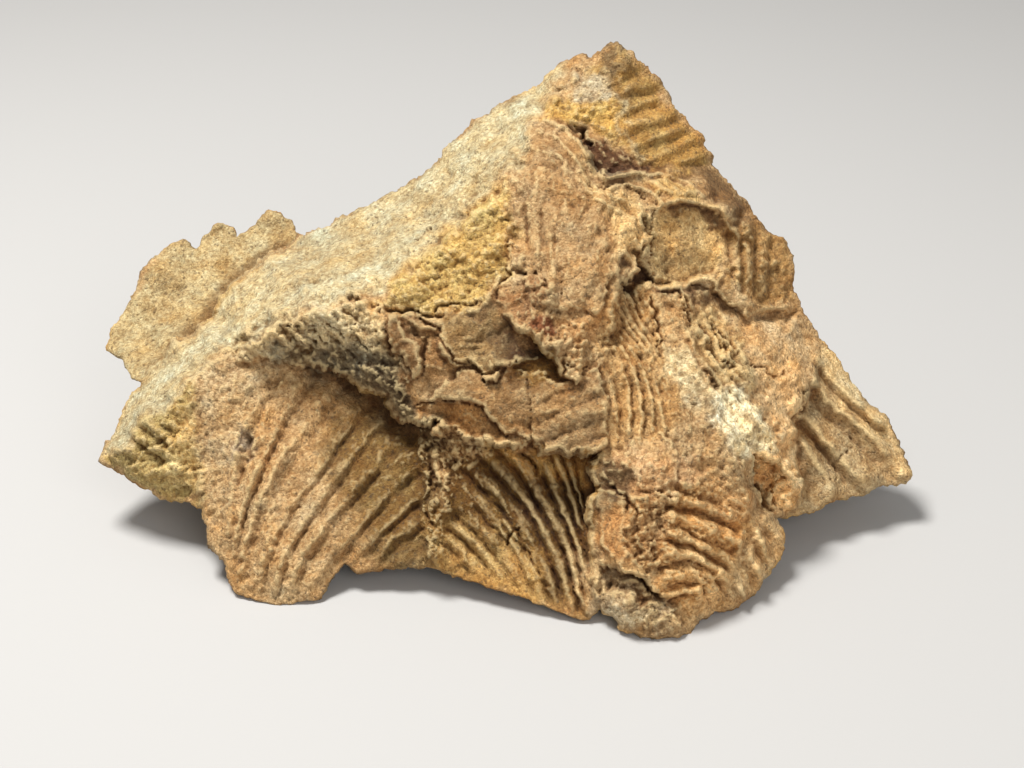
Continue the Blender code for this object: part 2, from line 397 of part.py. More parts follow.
def relief(points):
    """Everything that stands on the draped near face: flakes, cracks, ribs and roughness."""
    warped = wander(points, 0.25)
    height = 0.4 * rough(points, 4.0, 3) + 0.2 * rough(points, 1.3, 4)
    for thickness, corners in FLAKES.values():
        height = height + thickness * coverage(warped, corners, 0.35)
    for depth, half, line in CRACKS:
        height = height - depth * np.clip(1.0 - line_distance(warped, line) / half, 0.0, 1.0)
    for swing, size, corners in MATRIX:
        height = height + swing * rough(points, size, 9) * coverage(warped, corners, 0.5)
    for name in NEAR_SHELLS:
        height = height + rib_height(wander(points, 0.1), SHELLS[name])
    return height


def hidden_relief(points, border):
    """What the hidden sheet adds to its draped form: its turned edge, its broken faces and one more shell."""
    turned = 1.0 - np.exp(-line_distance(points, border, closed=True) / 0.9)
    broken = 1.2 * rough(points, 5.0, 5) - 1.1 * np.abs(rough(points, 3.2, 10)) + 0.35 * rough(points, 1.4, 6)
    return turned * (broken - ROUND) - turned * rib_height(wander(points, 0.2), SHELLS["back_shell"])


def sheet_points(border, lines):
    """The sketch points of a sheet and its triangles. The border's points come first, then those of its lines."""
    low, high = border[:, :2].min(axis=0), border[:, :2].max(axis=0)
    columns = np.arange(low[0], high[0], SPACING)
    rows = np.arange(low[1], high[1], SPACING)
    grid = np.stack(np.meshgrid(columns, rows), axis=-1).reshape(-1, 2)
    grid += np.random.default_rng(SEED).uniform(-0.2, 0.2, grid.shape) * SPACING
    kept = grid[inside(grid, border)]
    kept = kept[line_distance(kept, border, closed=True) > 0.6 * SPACING]
    edges = [(k, (k + 1) % len(border)) for k in range(len(border))]
    points = [border[:, :2]]
    first = len(border)
    for line in lines:
        kept = kept[line_distance(kept, line) > 0.5 * SPACING]
        points.append(line[:, :2])
        edges += [(first + k, first + k + 1) for k in range(len(line) - 1)]
        first += len(line)
    points = np.vstack(points + [kept])
    flat = [Vector(point) for point in points]
    made, _, faces, _, _, _ = delaunay_2d_cdt(flat, edges, [list(range(len(border)))], 1, 1e-5)
    if len(made) != len(points):
        raise ValueError("lines of the sketch cross")
    return points, np.array([list(face) for face in faces])


def stone_mesh():
    """The closed stone: the near sheet, the hidden sheet and the rim between them."""
    lines = all_ledge_lines()
    border = resampled(OUTLINE, SPACING)
    points, faces = sheet_points(border, lines)
    near_tree = drape(OUTLINE_POINTS, lines, NEAR)
    behind = OUTLINE_POINTS - np.array([0.0, 0.0, RIM])
    hidden_tree = drape(behind, [], [to_sketch(*place) for place in HIDDEN])
    near = depth_of(near_tree, points)
    hidden = depth_of(hidden_tree, points)
    edge = len(border)
    near[:edge] = border[:, 2]
    hidden[:edge] = border[:, 2] - RIM
    near[edge:] += relief(points[edge:])
    hidden[edge:] += hidden_relief(points[edge:], border)
    thinnest = np.minimum(LEAST, RIM + line_distance(points[edge:], border, closed=True))
    hidden[edge:] = np.minimum(hidden[edge:], near[edge:] - thinnest)
    corners = np.vstack([to_world(points[:, 0], points[:, 1], near), to_world(points[:, 0], points[:, 1], hidden)])
    count = len(points)
    rim = [(k, (k + 1) % edge, count + (k + 1) % edge, count + k) for k in range(edge)]
    mesh = bpy.data.meshes.new("fossil_clam")
    mesh.from_pydata(corners.tolist(), [], faces.tolist() + (faces[:, ::-1] + count).tolist() + rim)
    return mesh


OUTLINE_POINTS = np.array(OUTLINE)
NEAR_SHELLS = [name for name in SHELLS if name != "back_shell"]


def stone_material():
    """Iron-stained siltstone."""
    material = bpy.data.materials.new("siltstone")
    material.use_nodes = True
    shader = material.node_tree.nodes["Principled BSDF"]
    shader.inputs["Base Color"].default_value = (0.38, 0.23, 0.10, 1.0)
    shader.inputs["Roughness"].default_value = 0.9
    shader.inputs["Metallic"].default_value = 0.0
    return material


def main():
    for old in list(bpy.data.objects):
        bpy.data.objects.remove(old)
    stone = bpy.data.objects.new("fossil_clam", stone_mesh())
    bpy.context.scene.collection.objects.link(stone)
    stone.data.materials.append(stone_material())
    thin = stone.modifiers.new("fewer_faces", "DECIMATE")
    thin.ratio = TRIANGLES / sum(len(face.vertices) - 2 for face in stone.data.polygons)
    stone.data.shade_smooth()
    stone.data.set_sharp_from_angle(angle=math.radians(40.0))


main()
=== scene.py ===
import math

import bmesh
import bpy
import numpy as np
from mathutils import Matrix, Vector, kdtree, noise
from mathutils.bvhtree import BVHTree
from mathutils.geometry import delaunay_2d_cdt


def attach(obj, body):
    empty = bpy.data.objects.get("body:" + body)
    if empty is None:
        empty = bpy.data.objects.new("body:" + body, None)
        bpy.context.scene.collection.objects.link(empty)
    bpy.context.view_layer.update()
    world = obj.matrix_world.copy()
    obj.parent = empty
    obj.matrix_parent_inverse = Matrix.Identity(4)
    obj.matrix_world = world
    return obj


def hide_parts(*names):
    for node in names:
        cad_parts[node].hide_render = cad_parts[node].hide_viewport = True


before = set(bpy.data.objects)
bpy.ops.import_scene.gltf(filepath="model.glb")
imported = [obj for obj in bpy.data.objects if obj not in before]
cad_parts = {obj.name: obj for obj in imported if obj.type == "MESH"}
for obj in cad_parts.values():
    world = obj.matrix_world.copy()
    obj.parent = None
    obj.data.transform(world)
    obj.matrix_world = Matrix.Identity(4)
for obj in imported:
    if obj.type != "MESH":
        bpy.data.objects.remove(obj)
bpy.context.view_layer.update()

# A broken lump of siltstone, 52 mm long, with the ribbed moulds of clam shells on its faces.
#
# The stone is drawn on a sketch plane that leans back by TILT, as seen from an eye SIGHT away. A point of the
# sketch is (across, up, toward) in millimetres: across to the right, up the plane, and toward the eye. Two
# sheets close the stone: the near one, with its ledges and shells, and the hidden one, which is the underside
# and the back.
METRE = 1000.0
SIGHT = 124.0
TILT = math.radians(28.0)
TO_EYE = np.array([0.0, -math.cos(TILT), math.sin(TILT)])
SKETCH_HEIGHT = 9.5  # of the sketch's centre above the floor
SHIFT = (0.69, -3.56)  # centres the stone's box on the origin
FRAME_WIDTH = 64.0  # of the picture on the sketch plane
SENSOR = 36.0
SEED = 7

RIM = 0.5  # thickness of the stone's edge, where the two sheets meet
ROUND = 1.8  # how much deeper the hidden sheet runs once it has turned the edge
LEAST = 1.4  # thickness of the stone at its thinnest
CLIFF = 0.3  # width in the sketch of a ledge's face
LEDGE_STEP = 0.3  # between the points of a ledge
RAGGED = 0.3  # how far a ledge strays from its line
TEETH = 0.12  # how far a ledge's teeth stand out, and the overhang's
LONG_TEETH = 0.34
FRAYED = 0.15  # how far the outline strays from its line
BORDER_STEP = 0.15  # between the points of the outline
EDGE_STEP = 0.14  # between the points of a border that gives the depth past it
ROW = 0.866  # between the rows of a sheet's points, as a share of the way between its columns
FINE = 0.135  # between the points of the near sheet
COARSE = 0.33  # between the points of the hidden sheet
LONGEST = 0.8  # the longest edge of a triangle on a steep face
WIDEST = 0.7  # the widest half of a groove
TROUGH = 0.32  # how far the trough beside a crest reaches, as a share of the way to the next crest
FAINT = 0.02  # a share that is too small to count

# Noises that are summed: (how much, wavelength in mm, layer). Each layer has its own part of the noise.
STRAYS = [(1.0, 1.5, 1), (0.5, 0.6, 7), (0.28, 0.28, 27)]  # how a sketch point strays
RIB_STRAYS = [(0.35, 2.2, 1), (0.1, 0.7, 7)]  # the same for the fans and the fine lines
LINE_STRAYS = [(0.12, 0.6, 7)]  # the same for the drawn ribs
SWELLS = [(0.5, 4.0, 3), (0.3, 1.6, 4)]  # the near face's own swells
RIB_SWELLS = [(0.6, 3.5, 17), (0.5, 0.9, 18)]  # how the ribs grow and fade

# The stone's outline, clockwise from the peak.
OUTLINE = [
    (6.6, 21.3, -3), (7.5, 20.7, -3), (9.1, 19, -3.2), (10.1, 17.2, -3.2), (11.9, 15.3, -3.4),
    (12.4, 14.2, -3.5), (12.4, 13.7, -3.5), (13.9, 12, -3.6), (15.4, 10.1, -3.6), (16.2, 9.3, -3.4),
    (16.9, 9.1, -3.3), (17.5, 8, -3.3), (17.6, 6.6, -3.2), (17.4, 6.1, -3.2), (18.1, 4.7, -3),
    (19.2, 2.9, -3.2), (20.3, 1.6, -3.3), (21.2, 0, -3.4), (22.3, -1.3, -3.3), (23.4, -2.3, -3.2),
    (24.2, -4, -3), (25, -5.7, -2.6), (24.6, -6.2, -2.4), (22.9, -6.4, -1.8), (21.9, -6.9, -1.4),
    (20.1, -7.2, -0.6), (18.8, -7.9, 0), (17.2, -8.3, 0.6), (16.5, -8.4, 2.6), (16.9, -9.6, 3),
    (16.7, -10.9, 3.4), (15.6, -12.2, 4.4), (15.4, -12.8, 4.6), (14.1, -13.9, 5.6), (12.5, -14.3, 6.4),
    (11.6, -14.8, 6.8), (11.2, -15.5, 7.2), (10.3, -15.9, 7.6), (9.2, -16, 7.8), (7.8, -15.7, 7.8),
    (6.8, -15.2, 7.6), (6.2, -14.4, 7.2), (5.5, -14, 6.8), (4.8, -14.7, 6.6), (4, -14.6, 6.6),
    (2, -13.8, 6.2), (0, -13.1, 5.8), (-2.6, -12.3, 5), (-4.3, -11.6, 4.6), (-5.2, -11.4, 4.1),
    (-6.2, -11.4, 4.1), (-9.6, -11.7, 4.1), (-10.5, -11.2, 4), (-11.2, -12.1, 4.3), (-12.1, -13.4, 4.7),
    (-14.5, -13.8, 4.8), (-16.2, -13.4, 4.5), (-17.3, -13, 4.2), (-18.1, -11, 3.6), (-18.9, -10.2, 3.2),
    (-19.1, -8.8, 2.6), (-19.4, -7.8, 1.8), (-20.2, -7.3, 0.9), (-21.3, -7.4, 0.3), (-23, -6.4, -0.3),
    (-24.6, -5.4, -0.5), (-25.7, -4.8, -0.8), (-25.4, -4, -1.2), (-24.6, -2.8, -1.9), (-24.1, -1.3, -2.6),
    (-23.1, 0.1, -3.2), (-23.8, 0.4, -5), (-24.4, 1.6, -6.5), (-25.3, 2.1, -7.6), (-25.1, 3, -8.2),
    (-24, 4.9, -9), (-22.9, 7.2, -10), (-21.4, 8.7, -11), (-20.6, 8.9, -11.4), (-19.7, 8.4, -11.4),
    (-19, 9.3, -11.8), (-18.3, 10.1, -12), (-17.6, 9.8, -12.2), (-17.2, 9.2, -12), (-16.2, 9.7, -12.2),
    (-15.2, 10.8, -12.4), (-13.8, 10.2, -12), (-13.5, 9.4, -11.5), (-12.9, 9.2, -5), (-11, 10.1, -5),
    (-9, 11.1, -5), (-6.6, 12.3, -5.2), (-4.8, 13.6, -5.4), (-4, 14.7, -5.4), (-2.4, 16.2, -5.5),
    (-0.6, 17.5, -5.3), (1.3, 18.3, -5), (3, 19.9, -4.4), (4.4, 20.6, -3.8), (5, 20.3, -3.6),
    (6, 21.1, -3.1),
]

# Ledges: (across, up, depth of the lip, depth of the foot). The foot is on the right of the line's way.
LEDGES = {
    "crest": [
        (-13.3, 8.75, -5, -11.3), (-14.9, 7.9, -4.6, -11), (-16.1, 6.9, -4.2, -10.3), (-17.4, 6, -4, -9.6),
        (-18.3, 4.2, -3.4, -8), (-19.4, 3.4, -3.2, -7), (-20.9, 2.3, -3.1, -6), (-22.5, 0.7, -3.2, -4.6),
    ],
    "overhang": [
        (-17, 1.5, 1.3, 1.1), (-15.6, 1.5, 1.5, 1.1), (-13.4, 1.3, 1.5, 0.5), (-11.4, 1, 1.5, -0.4),
        (-10.2, 0.8, 1.7, -0.9), (-9.4, 0, 1.9, -0.6), (-8.3, -0.6, 2.2, -0.3), (-7.5, -1.2, 2.6, 0),
        (-6.8, -2.1, 3, 0.5), (-5.4, -2.6, 3.5, 1.3), (-4, -2.9, 4.1, 2.2), (-2, -3.6, 4.7, 2.8),
        (0, -3.7, 5.3, 3.1), (1.6, -3.8, 5.6, 3.2), (2.1, -4.3, 5.8, 3.3), (3.2, -4.1, 6, 3.3),
        (4.4, -4.2, 6.2, 3.5), (5.6, -4.1, 6.3, 4), (5.3, -5, 6.4, 4.2), (5.6, -6.4, 6.8, 4.5),
        (5, -7.6, 6.8, 4.7), (5, -9.5, 7, 5.2), (5.1, -11.5, 7.1, 5.8), (5.3, -13, 7, 6.3),
    ],
    "shell_edge": [
        (-4.9, -3.8, 3.3, 2.3), (-4.8, -5, 3.4, 2.3), (-4.6, -6.3, 3.7, 2.7), (-4.8, -8, 4.2, 3.3),
        (-5, -9.8, 4.6, 3.7), (-5, -10.9, 4.7, 4),
    ],
    "plate": [
        (-5.6, 3.5, 4.4, 3.9), (-4.6, 3.4, 4.8, 3.9), (-4.4, 2.3, 4.9, 3.9), (-3.5, 1.1, 5.2, 4.3),
        (-2.4, 1.3, 5.4, 4.5), (-1.8, 0.8, 5.6, 4.8), (-0.7, 1.2, 5.8, 4.8), (0.3, 1.4, 5.9, 4.4),
    ],
    "brow": [
        (-0.4, 4.4, 5.2, 4.9), (0.2, 3.5, 5.8, 4.4), (1.2, 3.1, 6.1, 4), (2, 2.3, 6.3, 4.1),
        (2.7, 1.6, 6.5, 4.5), (3, 0.6, 6.5, 5), (4, 0.3, 6.6, 5.6), (4.5, 1.1, 6.5, 6),
    ],
    "hollow": [
        (12, 13.4, -2.9, -3.3), (10, 13.2, -0.6, -1.7), (8, 13.2, 0.8, -0.9), (6.4, 12.8, 1.8, -0.6),
        (5.2, 13, 2.2, -0.9), (4.5, 14.2, 1.8, -1.5), (4, 15.2, 1.4, -1.5), (3.3, 16, 0.8, -0.8),
        (2.2, 16.6, 0, -0.6),
    ],
    "flake_top": [
        (8.8, 10.7, 2.4, 1.9), (9.3, 11.2, 2.3, 1.4), (10.6, 11.4, 1.6, 0.6), (11.9, 11.3, 0.9, 0),
        (12.9, 10.9, 0.4, -0.5), (13.6, 10.1, -0.1, -0.7),
    ],
    "flake_bottom": [
        (13.4, 6.9, 0.5, 0.2), (12.6, 6.8, 1.2, 0.3), (11.6, 6.6, 1.8, 0.6), (10.9, 6.2, 2.2, 0.9),
        (10.1, 6.1, 2.5, 1.1), (9.1, 6, 2.9, 1.7),
    ],
    "ribbed_bottom": [
        (13, 5.7, 1, 0.1), (13.8, 4.9, 0.7, 0), (14.7, 4.3, 0.2, -0.5), (15.5, 4.7, -0.5, -1.2),
        (16.3, 4.9, -1.2, -2), (17.2, 4.4, -2.3, -2.9),
    ],
    "cheek": [
        (5.5, 1.9, 6.3, 5.9), (5.9, 3, 6, 5), (6.3, 4.6, 5.5, 4.4), (6.8, 6.2, 4.8, 3.6),
        (7.9, 7.4, 3.9, 2.9), (8.2, 8.8, 3.4, 2.9), (8.2, 9.9, 3.1, 2.7),
    ],
    "wing_root": [
        (17.9, -7.5, 0.9, 0.3), (18.1, -6.2, 1.6, 0.1), (17.4, -4, 1.5, -0.2), (17.5, -2.4, 1.1, -0.8),
        (18.2, -1, 0.2, -1.4), (18.9, 0.3, -0.8, -2.1), (19.1, 1.6, -1.8, -2.6),
    ],
    "ochre_edge": [
        (-9.6, 5.8, 2.6, 2.9), (-8.2, 5, 3.1, 3.9), (-6.6, 4.8, 3.4, 4.1), (-4.5, 4.75, 3.9, 4.5),
        (-2.4, 4.9, 4.3, 4.8), (-1.4, 5.9, 4.3, 4.8), (-0.6, 7.2, 4, 4.5), (-0.2, 9, 3.5, 4),
        (-0.1, 10.8, 2.8, 3.2),
    ],
}

# Ridges and hollows of the near face.
NEAR = [
    # the weathered top, from the left tip to the peak
    (-24.3, -3.9, 0.4), (-22.9, -2.6, 1), (-21.6, -1.2, 1.3), (-20.3, -0.1, 1.5), (-19.2, 0.9, 1.4),
    (-18, 1.6, 1.3), (-19.5, 1.2, 0), (-17, 3.5, -0.6), (-14, 6.5, -1), (-10, 8.2, -1.4), (-6, 10, -1.4),
    (-3, 12.5, -1.6), (-0.8, 15.2, -2), (-15.7, 3.2, 2.4), (-14.2, 4.1, 2.8), (-12.8, 4.3, 3.1),
    (-11.6, 5, 3.1), (-10, 4.4, 3.5), (-8.8, 3.8, 3.8), (-7, 4.2, 4.2), (-6.9, 2.2, 3.9), (-2.5, 4, 4.6),
    (-2, 2.6, 4.4), (-6.5, 7, 2.9), (-4, 9, 2.3), (-1.4, 11, 2.4),
    # the ridge that comes down from the peak, and the face on its right
    (0.4, 5, 5.3), (0.4, 7, 4.7), (0.4, 9.5, 3.9), (0, 12.2, 2.6), (0.8, 14.5, 1.2), (1.5, 16.9, -0.6),
    (3, 18.5, -2.2), (4.6, 19.8, -3), (3, 12, 3.6), (2.5, 8, 5.2), (2.5, 4.5, 5.9), (5.5, 9, 4.7),
    (5, 5, 5.7), (5.8, 12, 2.7), (3.2, 15, 1.6), (7.9, 9, 3.3),
    # the peak's own face
    (7, 19.8, -2.4), (7, 17, -1.5), (7.3, 14.8, -1.2), (9.5, 16, -2.2), (5, 17.3, -1.5), (4.5, 18.8, -2.3),
    # the side face
    (9.5, 12.2, 1.2), (9, 9.5, 1.9), (9, 6.8, 2.4), (12.5, 8.2, 0.5), (15, 8, -1.2), (16.8, 7, -2.6),
    (7.5, 4, 3.7), (7, 0, 5.6), (8, -3.5, 6.7), (10, 3, 4.2), (9.3, 1.3, 4.8), (12, 1, 4.4), (13, -2, 5.2),
    (14.5, -3.5, 5), (11, -4, 6.8), (15, 2, 1.9), (16.4, 0, 1.5), (17, 3, -1),
    # the flake that overhangs the two shells
    (-6.4, -0.6, 3.4), (-5.6, 1.2, 4.2), (-3, -0.4, 5), (0, -1, 5.2), (3, -2, 5.9), (5.8, -1.5, 6.5),
    # the large shell
    (-19.6, -1.4, 1.5), (-19.6, -4, 1.8), (-19.2, -7, 2.3), (-16, -5, 3.2), (-12, -5, 2.9),
    (-8.5, -5.5, 2.3), (-15, -10, 4.5), (-10, -9.5, 4), (-17.6, -9, 3.7), (-12, -1.5, 1), (-16, -1, 1.7),
    # the second shell
    (-3.4, -6, 3.9), (0, -6, 3.8), (3, -6, 3.9), (0, -9.5, 4.8), (3, -10, 5.2), (-3, -10, 4.8),
    # the nose, and the knob beside it
    (14.6, -8, 5), (15.5, -9.8, 4.5), (14, -11.5, 6.1), (12, -9, 7.5), (9.5, -9, 8.3), (7, -7.5, 7.9),
    (6.5, -11, 8.1), (9, -13.5, 8.5), (12, -12.5, 7.7), (7, -14, 8), (11, -6.3, 7.5), (8.5, -5.5, 7.5),
    (13.5, -5, 5.9), (16.8, -5.5, 2.9), (17, -7, 2.4), (15.4, -6.4, 2.6),
    # the wing
    (20.5, -3, -1.7), (21.5, -5, -1.7), (19.5, -6, -0.7),
    # the low slab behind the crest
    (-22.5, 3, -7.4), (-20.5, 6, -9.6), (-18, 8.4, -11.2), (-15.4, 9.2, -11.6),
]

# The underside and the back, as they stand: (across, deep, high).
HIDDEN = [
    (-13.5, -8.5, -1.4), (-15, -6.2, -0.4), (-8, -6, 3), (-1, -7, 3.2), (4, -9.5, 1.6), (8.5, -12, -1.6),
    (12.5, -9.5, 1.2), (-18, -3, 3.4), (-20, 3, 4.8), (-10, 3, 3), (0, 0, 3.6), (10, -2, 2.8),
    (17, -1, 2.6), (20, 0.5, 2.8), (-14, 10, 4.2), (-5, 10, 2.2), (-4, 14.5, -0.4), (3, 9, 2.4),
    (4, 14, -0.4), (11, 9, 0.2), (17, 4, 2.4), (-20, 12, 6.4), (-15.5, 16, 6.2), (-10, 16.5, 3.4),
    (-4, 17.5, 1.8), (2, 17.5, 0.6), (9, 14, 0.8), (15, 8.5, 1.8), (-17, 18, 10.4), (-11.5, 16, 8.4),
    (-7, 17.2, 6.2), (-1, 19, 8.4), (4.5, 17.5, 6.4), (9, 13.6, 8.2), (13, 10.4, 5.4), (17, 6.4, 7.2),
    (-7, 17.6, 12.6), (-3, 17.8, 15.4), (0.5, 16.4, 12.6), (4, 16.6, 18), (7.6, 13.8, 14.4), (11, 11.4, 12),
]

# Areas of the near face that more than one table below uses, as corners in the sketch.
AREAS = {
    "centre flake": [(-8.2, 4.4), (-2, 4.8), (0.4, 4.2), (5.5, 1.2), (6.3, -3.8), (2.4, -4.6), (-6, -1.8)],
    "peak face": [(6.8, 20.6), (9.4, 19.4), (13, 13.4), (8.4, 13.3), (6.8, 15)],
    "plate": [(8.8, 10.9), (12.6, 10.7), (13.4, 8.5), (12.3, 6.3), (8.9, 6)],
    "wing": [(19, 1.9), (18.9, 0.5), (18, -1.8), (17.2, -2.6), (16.9, -4), (18, -5.5), (18.2, -6.5),
        (17.3, -8.4), (26, -6.5), (20.5, 2.2)],
    "arch": [(6.8, 6.4), (8, 7.6), (8.8, 6.7), (8.3, 5.9), (7.1, 5.9)],
}

# Thin flakes that stand on the face, or are missing from it: (height, area).
FLAKES = {
    "curled_flake": (0.7, [(-8, 3.3), (-7.8, 4.2), (-7, 4.3), (-5.3, 1.9), (-5.6, 0.6), (-6.4, 0.1),
        (-7.3, 1.4)]),
    "centre_flake": (0.6, [(-5.4, -0.7), (-3.6, 0.9), (-2, 0.9), (0.2, 1.1), (3, 0.2), (5.4, 0.9),
        (6.2, -1.5), (6.1, -3.4), (5.2, -4.2), (2.4, -4.5), (1.7, -3.7), (0.3, -3.4), (-1.6, -1.8),
        (-3, -0.8)]),
    "lens": (-0.3, [(-5.9, -1.5), (-5, -0.9), (-3, -0.9), (-0.9, -2.4), (-0.3, -3.1), (-2.5, -3.5),
        (-4.9, -2.4)]),
    "small_flake": (0.5, [(-2.2, 1.2), (-1.9, 0.3), (-1.3, 0), (-0.8, 0.8), (-1.2, 1.4)]),
    "arch": (-1.1, AREAS["arch"]),
    "orange_scale": (0.4, [(5.2, -6.6), (7.2, -6.3), (7.6, -8), (7.2, -10), (8.6, -12.2), (6.8, -11.6),
        (6, -10.6), (5.1, -8)]),
    "nose_step": (-0.9, [(5.4, -11.4), (6.8, -11.8), (8.4, -12.4), (9.7, -13.2), (9.4, -13.9),
        (5.6, -12.9)]),
    "nest": (-0.9, [(15.3, -4.6), (16.9, -5.6), (16.5, -6.8), (16, -7.7), (15.3, -6.6)]),
    "nest_lip": (0.6, [(16.8, -4.9), (18.1, -5.9), (18.2, -7), (17.4, -8), (16.7, -7.2), (17.3, -6.2)]),
    "pink_flake": (0.35, [(7.6, -3.3), (9.2, -3), (10.6, -4.2), (10.4, -6.1), (9.2, -6.8), (8, -6.3),
        (6.8, -5.2)]),
    "notch": (-0.8, [(-14.4, 4.1), (-13.6, 4.1), (-13.4, 2.9), (-12.1, 2.6), (-12.6, 1.8), (-13.6, 2.2),
        (-14.2, 3.2)]),
    "loop": (-0.7, [(-10.6, 5.5), (-9.7, 5.8), (-9.2, 5.2), (-9.9, 4.8)]),
    "left_pit": (-0.7, [(-21.4, -6.4), (-20.5, -6.3), (-20.1, -7.2), (-21.2, -7.4)]),
    "scar": (-0.35, [(-17.2, -2.8), (-16.4, -2.9), (-16.2, -4.4), (-16.7, -4.9), (-17.1, -4.2)]),
    "strip": (0.4, [(8.2, 13), (10.5, 12.8), (12.1, 11.6), (10, 11.6), (9, 11.7)]),
    "red_face": (0.4, [(0.6, 4.8), (3.6, 4.4), (5.4, 4.6), (6.2, 6.4), (7.6, 7.7), (7.8, 10.4), (5.6, 11.8),
        (4.4, 13.4), (1.6, 13.6), (0.5, 10)]),
}

# Fans of ribs: each spreads from its centre, pitch degrees from rib to rib. Its ribs are round, or sharp.
FANS = {
    "peak": dict(centre=(32.5, 26.5), pitch=2.6, height=0.34, sharp=False, region=AREAS["peak face"]),
    "red": dict(centre=(2, -30), pitch=1.5, height=0.16, sharp=False, region=[(0.3, 5.6), (3.4, 5.6),
        (4.4, 9), (3.6, 11.4), (0.4, 11.8)]),
}
BACK_FAN = dict(centre=(-2, -11), pitch=3.6, height=1, sharp=True, region=[(-7.5, 4), (-6, 8.5), (-1, 11.5),
    (4.5, 12.5), (9.5, 10), (11, 5), (7, 2.5), (-2, 2)])

# How each part of the face is broken: (height of its lumps, height of its sheets, their size in mm, the way
# they run in degrees, how many times longer they are that way, area).
BROKEN = [
    (0.1, 0.1, 1, 35, 1.5, [(-26, -5), (-24.2, -4), (-20.7, -0.4), (-14.4, 4), (-9.5, 5.5), (-6.5, 7.2),
        (-1.5, 11.8), (1.3, 16.6), (3.6, 20), (2, 21), (-14, 12), (-27, 4)]),
    (0.3, 0.5, 0.9, 25, 1.6, [(-9, 4.8), (-3.5, 9.8), (-1, 11.8), (0.2, 11), (0, 6), (-2.4, 4.6)]),
    (0.35, 0.3, 0.9, 20, 1.5, [(-25.8, -4.9), (-24.2, -4), (-22, -1.6), (-20, 0), (-19.3, -4.5),
        (-19, -8)]),
    (0.65, 0.7, 1.1, -25, 2.2, [(-17.6, 2.6), (-15.8, 3.2), (-14.4, 4.2), (-9.5, 5.4), (-8, 4.2), (-7.5, 2),
        (-6.5, 0.2), (-6.3, -1.8), (-9.6, 0), (-13, 1.1), (-17.2, 1.4)]),
    (0.6, 0.4, 0.6, -60, 1.4, [(-6.8, -1.4), (-5.6, -2), (-2.2, -3), (1.7, -3.6), (-1.8, -4.8),
        (-3.2, -5.8), (-3.9, -7.4), (-4.1, -11.8), (-5.7, -11.8), (-5.5, -6.2), (-6, -3.4)]),
    (0.16, 0.14, 0.6, 62, 2.8, [(-20.2, -0.2), (-14.8, 1.2), (-15.6, -5), (-12.5, -13.9), (-19.4, -13)]),
    (0.1, 0.08, 0.6, 52, 2.4, [(-15.4, 1.2), (-7.5, -0.8), (-5.2, -3.4), (-5.1, -11.8), (-13, -14)]),
    (0.14, 0.1, 0.5, -55, 3, [(-4.3, -6.9), (-2.8, -4.3), (5.2, -4.3), (5.2, -14.6), (-4.9, -12)]),
    (0.1, 0.36, 1.7, 15, 1.6, AREAS["centre flake"]),
    (0.14, 0.18, 0.5, 85, 3, [(0, 3.4), (0, 12.4), (1.5, 16.4), (5, 13.6), (8.4, 11.4), (7.4, 7),
        (4, 0.2)]),
    (0.3, 0.6, 0.8, 60, 1.6, [(0.2, 6.8), (2.6, 6.4), (3.6, 4.4), (5.4, 2.6), (4.2, 0.2), (0.4, 3.2)]),
    (0.14, 0.3, 0.8, 20, 2, [(2, 16.6), (6.8, 15.4), (7.6, 20.8), (6.6, 21.4), (4.4, 20.8)]),
    (0.2, 0.4, 0.7, -35, 2.4, [(3.8, 16.2), (7.8, 14.2), (10, 13.4), (7, 12.9), (5.2, 13), (4.3, 14.6)]),
    (0.07, 0.08, 0.6, 22, 4, AREAS["peak face"]),
    (0.12, 0.25, 0.9, -75, 3, [(12.2, 12.6), (17.6, 8.4), (17.2, 4.8), (13.4, 5.6), (13.6, 10.4)]),
    (0.06, 0.2, 1.4, 60, 1.6, AREAS["plate"]),
    (0.12, 0.24, 0.8, -62, 4, [(6, 6.2), (8.8, 6.6), (10.4, 5.8), (9.9, 2), (11, -1.5), (11.2, -4.6),
        (6.2, -4.2), (5.6, 1.2)]),
    (0.1, 0.34, 0.7, -58, 5, [(10, 2), (10.6, 5.8), (13.4, 5.4), (16.4, -2.5), (15.3, -4.6), (12.4, -3.6),
        (10.8, 0.5)]),
    (0.08, 0.25, 1.2, -50, 2.4, [(13.2, 5.2), (17.4, 4.4), (19, 1.6), (18.3, -0.8), (17.2, -3),
        (15.4, -1)]),
    (0.05, 0.06, 0.7, -48, 2.4, AREAS["wing"]),
    (0.22, 0.36, 0.9, -30, 1.6, [(5.4, -4.2), (11.8, -3.8), (15.4, -4.4), (14.8, -7), (10, -7.2),
        (5.2, -7)]),
    (0.1, 0.16, 0.9, 80, 2.6, [(4.9, -6.8), (7.3, -7.2), (7.6, -9.5), (7.6, -12), (5, -11.4)]),
    (0.5, 0.4, 0.8, 30, 1.5, [(7.2, -6.6), (10.6, -6.6), (10.4, -10.5), (9.8, -12), (7.6, -11.4)]),
    (0.3, 0.3, 0.7, -25, 2, [(9.2, -6.2), (12.5, -6.2), (14.7, -7.4), (14.4, -10), (13.8, -12.8),
        (11.4, -15), (9.2, -14)]),
    (0.14, 0.25, 0.7, 70, 2.6, [(14.4, -8), (17.2, -8.2), (17.4, -11), (15.2, -13.6), (12.6, -14.6),
        (13.6, -11.6)]),
    (0.5, 0.6, 1, 20, 1.5, [(4.8, -11.6), (8.4, -12.6), (10, -13.6), (11.4, -15.6), (9, -16.4),
        (4.8, -15.2)]),
]

